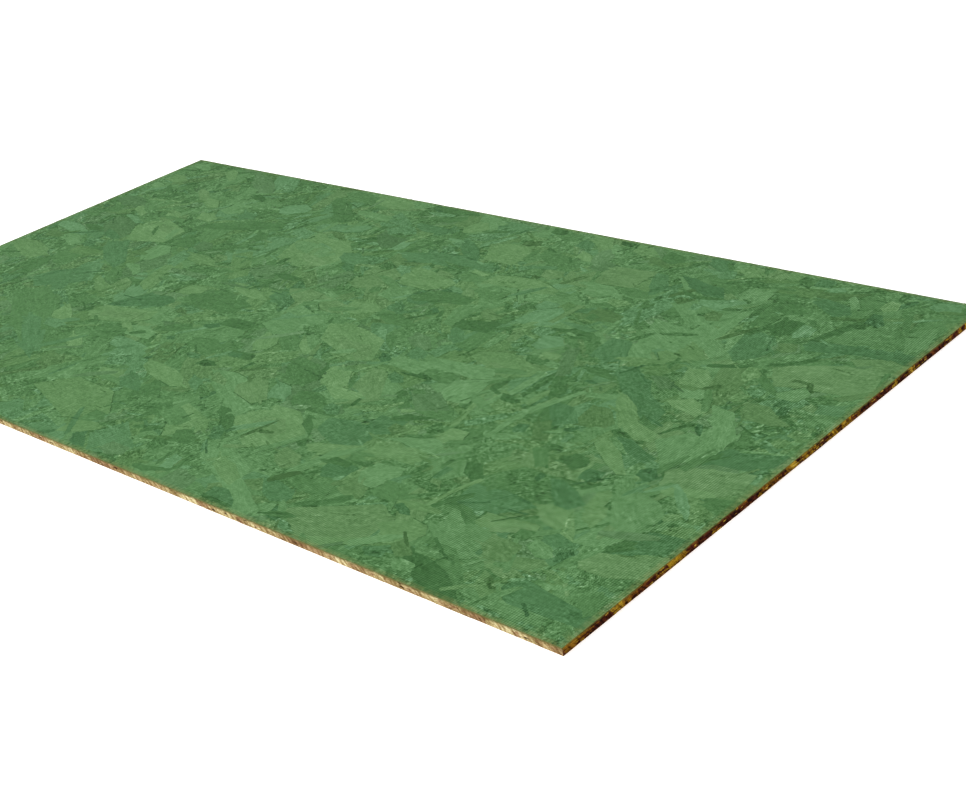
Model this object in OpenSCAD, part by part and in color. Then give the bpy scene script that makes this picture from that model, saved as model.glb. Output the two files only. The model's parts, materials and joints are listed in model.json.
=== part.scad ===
// Sheet of oriented strand board, lying flat with its coloured face up.
// Standard building-board stock: 8 ft long, 4 ft wide and 19/32 in thick, with
// plain square sawn edges on all four sides.
// The sheet is pressed and sawn as one piece, so it is one solid.
// X runs along the sheet, Y across it and Z up through its thickness.
// The origin is the middle of the underside, the face that the sheet lies on.

/* [Sheet] */
// Length of the sheet, along X
sheet_length = 2438.4; // [600:0.1:3050]
// Width of the sheet, along Y
sheet_width = 1219.2; // [300:0.1:1525]
// Thickness of the sheet, along Z
sheet_thickness = 15.1; // [6:0.1:32]

/* [Colour] */
// Colour of the stained face
face_colour = "#4f8a50"; // ["#4f8a50":Green, "#c9a468":Natural wood]

/* [Hidden] */
// The outline before it is pressed to thickness: sawn square to these corners.
outline = [
    [-sheet_length / 2, -sheet_width / 2],
    [ sheet_length / 2, -sheet_width / 2],
    [ sheet_length / 2,  sheet_width / 2],
    [-sheet_length / 2,  sheet_width / 2]
];

// The pressed sheet: its sawn outline, raised by the thickness from Z = 0.
module osb_board() {
    color(face_colour)
        linear_extrude(height = sheet_thickness)
            polygon(points = outline);
}

osb_board();
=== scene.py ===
# The looks of a sheet of oriented strand board: its pressed strands, its sawn edges, its floor, lights and camera.
import json
import math

import bpy
import numpy as np
from mathutils import Matrix, Vector
from mathutils.geometry import delaunay_2d_cdt

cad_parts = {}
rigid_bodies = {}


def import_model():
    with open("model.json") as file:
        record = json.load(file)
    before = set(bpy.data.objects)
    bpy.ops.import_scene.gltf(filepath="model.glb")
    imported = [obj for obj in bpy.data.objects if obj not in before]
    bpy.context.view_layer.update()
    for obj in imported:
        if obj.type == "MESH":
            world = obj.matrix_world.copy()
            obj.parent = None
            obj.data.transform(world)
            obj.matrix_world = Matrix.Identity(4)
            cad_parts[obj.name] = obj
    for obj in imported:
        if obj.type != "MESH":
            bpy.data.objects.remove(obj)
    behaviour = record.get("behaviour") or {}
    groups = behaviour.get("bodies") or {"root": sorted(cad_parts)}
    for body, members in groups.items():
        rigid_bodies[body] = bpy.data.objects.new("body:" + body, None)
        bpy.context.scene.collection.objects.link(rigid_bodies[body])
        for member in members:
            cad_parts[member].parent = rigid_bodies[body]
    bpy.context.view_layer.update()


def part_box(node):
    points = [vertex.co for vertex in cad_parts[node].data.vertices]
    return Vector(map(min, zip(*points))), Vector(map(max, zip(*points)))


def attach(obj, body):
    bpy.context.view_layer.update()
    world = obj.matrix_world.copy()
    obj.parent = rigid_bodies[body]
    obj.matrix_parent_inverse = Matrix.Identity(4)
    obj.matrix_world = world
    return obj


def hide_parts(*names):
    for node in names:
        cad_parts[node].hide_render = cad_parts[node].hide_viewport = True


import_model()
NODE = "osb_board"
lo, hi = (Vector(v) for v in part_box(NODE))

# ------------------------------------------------------------------ camera
# Looks down on the near corner, slightly rolled, with a modest lens shift.
cam_data = bpy.data.cameras.new("camera")
cam_data.sensor_width = 36.0
cam_data.lens = 60.356
cam_data.shift_x = -0.08
cam_data.clip_start, cam_data.clip_end = 0.05, 200.0
cam = bpy.data.objects.new("camera", cam_data)
bpy.context.scene.collection.objects.link(cam)
right = Vector((0.7445, 0.65211, -0.14312))
down = Vector((0.20929, -0.43152, -0.87749))
fwd = right.cross(down)
place = Matrix((
    (right.x, -down.x, -fwd.x, 2.5928),
    (right.y, -down.y, -fwd.y, -1.8857),
    (right.z, -down.z, -fwd.z, 1.3619),
    (0, 0, 0, 1),
))
cam.matrix_world = place
bpy.context.scene.camera = cam

# ------------------------------------------------------------------ sizes, in millimetres
LX, LY, T = ((hi - lo) * 1000)[:]
X0, Y0 = lo.x * 1000, lo.y * 1000


# ------------------------------------------------------------------ strands as painted regions
class Sheet:
    """A flat field of strands, painted one over another on a fine grid. Later ones lie on top."""

    def __init__(self, width, height, cell_x, cell_y):
        self.nx, self.ny = round(width / cell_x), round(height / cell_y)
        self.cx, self.cy = width / self.nx, height / self.ny
        self.ids = np.full((self.ny, self.nx), -1, np.int32)
        self.strands = []

    def paint(self, outline, **facts):
        """Paints a closed outline, in mm from the field's low corner, and keeps its facts. Returns its number."""
        p = np.asarray(outline, float) / (self.cx, self.cy)
        c0, r0 = np.maximum(np.floor(p.min(0)).astype(int) - 1, 0)
        c1 = min(int(math.ceil(p[:, 0].max())) + 1, self.nx)
        r1 = min(int(math.ceil(p[:, 1].max())) + 1, self.ny)
        number = len(self.strands)
        self.strands.append(facts)
        if c0 >= c1 or r0 >= r1:
            return number
        xs = np.arange(c0, c1) + 0.5
        ys = np.arange(r0, r1) + 0.5
        q = np.roll(p, -1, 0)
        # where each row crosses each side of the outline
        inside = np.zeros((len(ys), len(xs)), bool)
        for (ax, ay), (bx, by) in zip(p, q):
            if ay == by:
                continue
            rows = (ys > min(ay, by)) & (ys <= max(ay, by))
            if not rows.any():
                continue
            cross = ax + (ys[rows] - ay) * (bx - ax) / (by - ay)
            inside[rows] ^= xs[None, :] < cross[:, None]
        self.ids[r0:r1, c0:c1][inside] = number
        return number


def value_noise(rng, n, step, amount):
    """n values of a smooth random line, with a knot every step values."""
    knots = rng.uniform(-1, 1, int(n / step) + 3)
    t = np.arange(n) / step + rng.uniform(0, 1)
    i = t.astype(int)
    f = t - i
    f = f * f * (3 - 2 * f)
    return amount * (knots[i] * (1 - f) + knots[i + 1] * f)


def strand_outline(rng, cx, cy, length, width, angle, cut=(0.0, 0.0), taper=(0.0, 0.0), torn=1.0, bow=0.0):
    """A strand's outline: sides that follow the grain, and ends cut at a slant and torn into fibres."""
    n = max(4, int(length / 26))
    u = np.linspace(-0.5, 0.5, n) * length
    half = width / 2 * (1 - np.where(u < 0, taper[0], taper[1]) * (np.abs(u) / (length / 2)) ** 2)
    mid = bow * length * ((2 * u / length) ** 2 - 0.33) + value_noise(rng, n, 3, min(2.2, width * 0.07))
    wob = min(1.6, width * 0.05) * torn
    top = mid + half + value_noise(rng, n, 2, wob)
    low = mid - half + value_noise(rng, n, 2, wob)
    ends = []
    for k, side in ((0, -1), (1, 1)):
        m = max(2, int(width / 11))
        v = np.linspace(-1, 1, m + 2)[1:-1] * width / 2
        slant = cut[k] * v
        teeth = rng.uniform(-1, 1, m) * min(5.0, width * 0.2) * torn
        ends.append((side * length / 2 + slant + teeth, v * (1 - taper[k]) + mid[0 if side < 0 else -1]))
    us = np.concatenate([u + cut[0] * 0, ends[1][0][::-1], u[::-1], ends[0][0]])
    vs = np.concatenate([top, ends[1][1][::-1], low[::-1], ends[0][1]])
    # the long sides end where the slanted cut meets them
    us[:n] = np.where(np.arange(n) == 0, u[0] + cut[0] * width / 2, np.where(np.arange(n) == n - 1, u[-1] + cut[1] * width / 2, us[:n]))
    k = n + len(ends[1][0])
    low_u = us[k : k + n].copy()
    low_u[0] = u[-1] - cut[1] * width / 2
    low_u[-1] = u[0] - cut[0] * width / 2
    us[k : k + n] = low_u
    c, s = math.cos(angle), math.sin(angle)
    return np.stack([cx + us * c - vs * s, cy + us * s + vs * c], 1)


# ------------------------------------------------------------------ from painted cells to a map of straight-sided regions
def tidy(ids, rounds=2):
    """Gives specks and one-cell slivers to a neighbour, so that every region is worth its triangles."""
    for k in range(rounds):
        p = np.pad(ids, 1, mode="edge")
        around = [p[1 + a : p.shape[0] - 1 + a, 1 + b : p.shape[1] - 1 + b] for a, b in ((0, 1), (0, -1), (1, 0), (-1, 0))]
        same = sum((n == ids).astype(np.int8) for n in around)
        ids = np.where(same <= 1, around[(0, 2, 1, 3)[k % 4]], ids)
    # two cells of a strand that only touch at a corner get the cell between them
    ids = ids.copy()
    for k in range(3 * 4):
        a, b = (k // 2) % 2, k % 2
        q = ids[a:, b:]
        q = q[: q.shape[0] // 2 * 2, : q.shape[1] // 2 * 2]
        ul, ur, dl, dr = q[::2, ::2], q[::2, 1::2], q[1::2, ::2], q[1::2, 1::2]
        one = (ul == dr) & (ul != ur) & (ul != dl)
        ur[one] = ul[one]
        two = (ur == dl) & (ul != ur) & (ur != dr)
        ul[two] = ur[two]
    return ids


def chains_of(ids):
    """The lines between differing cells, each a list of grid corners from one meeting point to the next."""
    ny, nx = ids.shape
    p = np.full((ny + 2, nx + 2), -9, np.int32)
    p[1:-1, 1:-1] = ids
    ul, ur, dl, dr = p[:-1, :-1], p[:-1, 1:], p[1:, :-1], p[1:, 1:]
    east, west, south, north = ur != dr, ul != dl, dl != dr, ul != ur
    mask = (east * 1 + west * 2 + south * 4 + north * 8).astype(np.uint8)
    node = (east.astype(np.uint8) + west + south + north) >= 3
    node[0, 0] = node[0, -1] = node[-1, 0] = node[-1, -1] = True
    w = nx + 1
    flags = mask.tobytes()
    is_node = node.astype(np.uint8).tobytes()
    step = {1: 1, 2: -1, 4: w, 8: -w}
    back = {1: 2, 2: 1, 4: 8, 8: 4}
    seen_e, seen_s = bytearray(w * (ny + 1)), bytearray(w * (ny + 1))

    def used(v, d):
        return seen_e[v] if d == 1 else seen_e[v - 1] if d == 2 else seen_s[v] if d == 4 else seen_s[v - w]

    def walk(v, d):
        path = [v]
        while True:
            if d == 1:
                seen_e[v] = 1
            elif d == 2:
                seen_e[v - 1] = 1
            elif d == 4:
                seen_s[v] = 1
            else:
                seen_s[v - w] = 1
            v += step[d]
            if is_node[v]:
                path.append(v)
                return path
            n = flags[v] ^ back[d]
            if n != d:
                path.append(v)
            d = n
            if v == path[0]:
                if path[-1] != v:
                    path.append(v)
                return path

    out = []
    for v in np.flatnonzero(node.ravel()).tolist():
        for d in (1, 2, 4, 8):
            if flags[v] & d and not used(v, d):
                out.append(walk(v, d))
    # islands have no meeting point
    loose = np.flatnonzero((mask.ravel() & 1).astype(bool) & (np.frombuffer(bytes(seen_e), np.uint8) == 0)).tolist()
    for v in loose:
        if not seen_e[v]:
            out.append(walk(v, 1))
    return [np.stack([np.array(c) % w, np.array(c) // w], 1).astype(float) for c in out]


def simplify(p, tol):
    """Douglas and Peucker's rule."""
    n = len(p)
    if n < 3:
        return p
    keep = np.zeros(n, bool)
    keep[0] = keep[-1] = True
    stack = [(0, n - 1)]
    if (p[0] == p[-1]).all():
        far = int(np.argmax(((p - p[0]) ** 2).sum(1)))
        keep[far] = True
        stack = [(0, far), (far, n - 1)]
    while stack:
        a, b = stack.pop()
        if b - a < 2:
            continue
        d = p[b] - p[a]
        q = p[a + 1 : b] - p[a]
        size = math.hypot(d[0], d[1])
        off = np.abs(q[:, 0] * d[1] - q[:, 1] * d[0]) / size if size else np.hypot(q[:, 0], q[:, 1])
        k = int(np.argmax(off))
        if off[k] > tol:
            keep[a + 1 + k] = True
            stack += [(a, a + 1 + k), (a + 1 + k, b)]
    return p[keep]


UNIT = 0.01  # mm: every coordinate of the sheet is a whole number of these, so that faces meet exactly


class Net:
    """Points and lines, gathered for one triangulation. Coordinates are in UNITs."""

    def __init__(self):
        self.index, self.points, self.edges = {}, [], set()

    def add(self, x, y):
        key = (int(x), int(y))
        if key not in self.index:
            self.index[key] = len(self.points)
            self.points.append(key)
        return self.index[key]

    def line(self, pts):
        ks = [self.add(*p) for p in pts]
        for a, b in zip(ks, ks[1:]):
            if a != b:
                self.edges.add((min(a, b), max(a, b)))

    def chains(self, sheet, tol, x0=0.0, y0=0.0):
        """The sheet's own lines, made straight, from mm to UNITs."""
        for c in chains_of(sheet.ids):
            s = simplify(c, tol)
            mm = np.round((s * (sheet.cx, sheet.cy) + (x0, y0)) / UNIT).astype(int)
            self.line(mm.tolist())

    def triangles(self, within=None):
        """Triangles inside the lines, and the region that each belongs to. The lines bound the regions."""
        pts = [Vector((x * UNIT, y * UNIT)) for x, y in self.points]
        verts, es, tris, _, from_edge, _ = delaunay_2d_cdt(pts, sorted(self.edges), [], 1, 1e-5, True)
        at = np.round(np.array([v[:] for v in verts], float) / UNIT).astype(np.int64)
        # points that round to the same place become one
        _, first, same = np.unique(at[:, 0] * 10_000_000 + at[:, 1], return_index=True, return_inverse=True)
        at = at[first]
        tri = same[np.array([t for t in tris if len(t) == 3], int)]
        tri = tri[(tri[:, 0] != tri[:, 1]) & (tri[:, 1] != tri[:, 2]) & (tri[:, 2] != tri[:, 0])]
        if within is not None:
            middle = at[tri].mean(1) * UNIT
            tri = tri[within(middle[:, 0], middle[:, 1])]
        a, b, c = at[tri[:, 0]], at[tri[:, 1]], at[tri[:, 2]]
        area = (b - a)[:, 0] * (c - a)[:, 1] - (b - a)[:, 1] * (c - a)[:, 0]
        tri[area < 0] = tri[area < 0][:, ::-1]
        fixed = set()
        for e, src in zip(es, from_edge):
            if src:
                i, j = int(same[e[0]]), int(same[e[1]])
                fixed.add((min(i, j), max(i, j)))
        side = {}
        for k, (i, j, m) in enumerate(tri.tolist()):
            for e in ((i, j), (j, m), (m, i)):
                side.setdefault((min(e), max(e)), []).append((k, e))
        root = list(range(len(tri)))

        def find(x):
            while root[x] != x:
                root[x] = root[root[x]]
                x = root[x]
            return x

        for e, ks in side.items():
            if len(ks) == 2 and e not in fixed:
                x, y = find(ks[0][0]), find(ks[1][0])
                if x != y:
                    root[x] = y
        _, comp = np.unique([find(k) for k in range(len(tri))], return_inverse=True)
        return at, tri, np.abs(area), comp, side


def region_labels(at, tri, area, comp, look):
    """Each region's strand: the one that most of its area was painted with."""
    middle = at[tri].mean(1) * UNIT
    mine = look(middle[:, 0], middle[:, 1])
    order = np.lexsort((mine, comp))
    pair = np.stack([comp[order], mine[order]], 1)
    start = np.flatnonzero(np.r_[True, (pair[1:] != pair[:-1]).any(1)])
    total = np.add.reduceat(area[order].astype(float), start)
    out = np.zeros(comp.max() + 1, int)
    best = np.full(comp.max() + 1, -1.0)
    for (c, m), t in zip(pair[start].tolist(), total.tolist()):
        if t > best[c]:
            best[c], out[c] = t, m
    return out


def heights_for(label, strands):
    """Whole UNITs outwards for each region: its strand's depth, and a hair more for each further part of the same strand."""
    seen, out = {}, np.zeros(len(label), np.int64)
    for k, m in enumerate(label.tolist()):
        n = seen[m] = seen.get(m, -1) + 1
        out[k] = -round(strands[m]["depth"] / UNIT) - (n % 9 if strands[m]["depth"] > 0 else 0)
    return out


def settle(comp, side, area, height):
    """Where more than two walls would share an upright line, the smallest region there takes a neighbour's height."""
    size = np.bincount(comp, weights=area)
    h = height.tolist()
    near = {}
    for (i, j), ks in side.items():
        if len(ks) == 2:
            a, b = int(comp[ks[0][0]]), int(comp[ks[1][0]])
            if a != b:
                near.setdefault(i, []).append((a, b))
                near.setdefault(j, []).append((a, b))
    near = {v: pairs for v, pairs in near.items() if len(pairs) > 3}
    for _ in range(20):
        changed = False
        for pairs in near.values():
            spans = [(min(h[a], h[b]), max(h[a], h[b]), a, b) for a, b in pairs if h[a] != h[b]]
            zs = sorted({z for s in spans for z in s[:2]})
            for low_z, high_z in zip(zs, zs[1:]):
                over = [s for s in spans if s[0] <= low_z and s[1] >= high_z]
                if len(over) > 2:
                    k = min({c for s in over for c in s[2:]}, key=lambda c: size[c])
                    h[k] = low_z if h[k] >= high_z else high_z
                    changed = True
                    break
        if not changed:
            break
    return np.array(h, np.int64)


class Relief:
    """Flat regions at different heights, joined by walls that share every corner with their neighbours."""

    def __init__(self, at, tri, comp, side, label, height):
        # height: whole UNITs outwards, at most 0, for each region
        self.at, self.tri = at, tri
        self.tri_label = label[comp]
        h = height[comp]
        stack = {}
        for k, t in enumerate(tri.tolist()):
            hk = int(h[k])
            for v in t:
                stack.setdefault(v, set()).add(hk)
        self.stack = {v: sorted(s, reverse=True) for v, s in stack.items()}
        self.faces = np.concatenate([at[tri], np.repeat(h[:, None], 3, 1)[:, :, None]], 2)
        walls, wall_label, shift = [], [], []
        self.rim = []
        for (i, j), ks in side.items():
            if len(ks) == 1:
                self.rim.append((i, j, int(h[ks[0][0]])))
                continue
            if len(ks) != 2:
                raise ValueError("a line has %d sides" % len(ks))
            (ka, ea), (kb, eb) = ks
            ha, hb = int(h[ka]), int(h[kb])
            if ha == hb:
                continue
            if ha < hb:
                ka, ea, ha, hb = kb, eb, hb, ha
            i, j = ea
            (ax, ay), (bx, by) = at[i].tolist(), at[j].tolist()
            size = math.hypot(bx - ax, by - ay)
            n = ((by - ay) / size, -(bx - ax) / size)
            down_i = [z for z in self.stack[i] if hb <= z <= ha]
            down_j = [z for z in self.stack[j] if hb <= z <= ha]
            p = q = 0
            while p < len(down_i) - 1 or q < len(down_j) - 1:
                zi, zj = down_i[p], down_j[q]
                go_i = q == len(down_j) - 1 or (p < len(down_i) - 1 and down_i[p + 1] >= down_j[q + 1])
                if go_i:
                    p += 1
                    walls.append(((bx, by, zj), (ax, ay, zi), (ax, ay, down_i[p])))
                    drops = (ha - zj, ha - zi, ha - down_i[p])
                else:
                    q += 1
                    walls.append(((bx, by, zj), (ax, ay, zi), (bx, by, down_j[q])))
                    drops = (ha - zj, ha - zi, ha - down_j[q])
                wall_label.append(int(self.tri_label[ka]))
                shift.append([(n[0] * d / (ha - hb), n[1] * d / (ha - hb)) for d in drops])
        self.walls = np.array(walls, np.int64).reshape(-1, 3, 3)
        self.wall_label = np.array(wall_label, int)
        self.shift = np.array(shift, float).reshape(-1, 3, 2)

    def profile(self, axis, value):
        """The rim along one side of the rectangle, as (place along it, height) from one end to the other."""
        runs = []
        for i, j, h in self.rim:
            if self.at[i][axis] == value and self.at[j][axis] == value:
                a, b = int(self.at[i][1 - axis]), int(self.at[j][1 - axis])
                if a > b:
                    a, b, i, j = b, a, j, i
                runs.append((a, b, h, j))
        runs.sort()
        out = [(runs[0][0], runs[0][2])]
        for k, (a, b, h, v) in enumerate(runs):
            out.append((b, h))
            if k + 1 < len(runs):
                nxt = runs[k + 1][2]
                if nxt != h:
                    between = [z for z in self.stack[v] if min(h, nxt) < z < max(h, nxt)]
                    between.sort(reverse=nxt < h)
                    out += [(b, z) for z in between] + [(b, nxt)]
        return out

    def at_corner(self, x, y):
        """Every height at one corner of the rectangle."""
        v = int(np.flatnonzero((self.at[:, 0] == x) & (self.at[:, 1] == y))[0])
        return self.stack[v]


# ------------------------------------------------------------------ the upper face's main strands
# Tone, from 0 dark to 9 light; hue: g green, b bluish, o olive, y yellow green, n neutral; outline in mm from
# the sheet's centre. Placed in rounded positions. Later ones lie on top.
# The general tone of some areas: tone, then corners.
GROUND = [
    (5.6, (557, -194, 815, -42, 948, -126, 1053, -225, 994, -256, 897, -245, 778, -318, 724, -361)),
    (6, (926, 78, 1083, 194, 1190, 188, 1223, 80, 1207, -21, 1123, -45, 1042, -48, 968, 16)),
    (6.2, (290, 397, 469, 539, 583, 421, 440, 276, 366, 296)),
    (3.2, (92, 141, 168, 212, 247, 160, 273, 89, 181, 68)),
    (5.8, (857, -425, 1040, -409, 1123, -411, 1139, -522, 1012, -518, 888, -491)),
    (5.6, (1068, -244, 1128, -108, 1191, -246, 1191, -373, 1123, -411)),
    (3.6, (-1054, -146, -910, -35, -715, -190, -802, -299)),
    (3.8, (-758, -326, -619, -253, -435, -398, -493, -486)),
    (5.8, (586, -262, 675, -185, 814, -306, 717, -379)),
    (6.2, (779, -453, 885, -382, 1009, -492, 896, -555)),
    (5.8, (949, -538, 1108, -510, 1198, -590, 1053, -605)),
    (5.6, (-425, -454, -218, -377, -44, -498, -206, -578)),
    (5.6, (-13, -70, 110, -15, 226, -120, 110, -174)),
    (4, (-1225, 215, -1080, 298, -687, 18, -824, -51)),
    (3.6, (-282, 411, -202, 468, -63, 347, -149, 300)),
    (5.8, (606, 399, 721, 469, 915, 202, 784, 140)),
    (5.6, (264, 313, 351, 377, 517, 188, 420, 144)),
    (4, (-592, 204, -495, 243, -294, 78, -383, 40)),
    (5.6, (-846, 70, -768, 168, -418, -62, -489, -151)),
]
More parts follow.
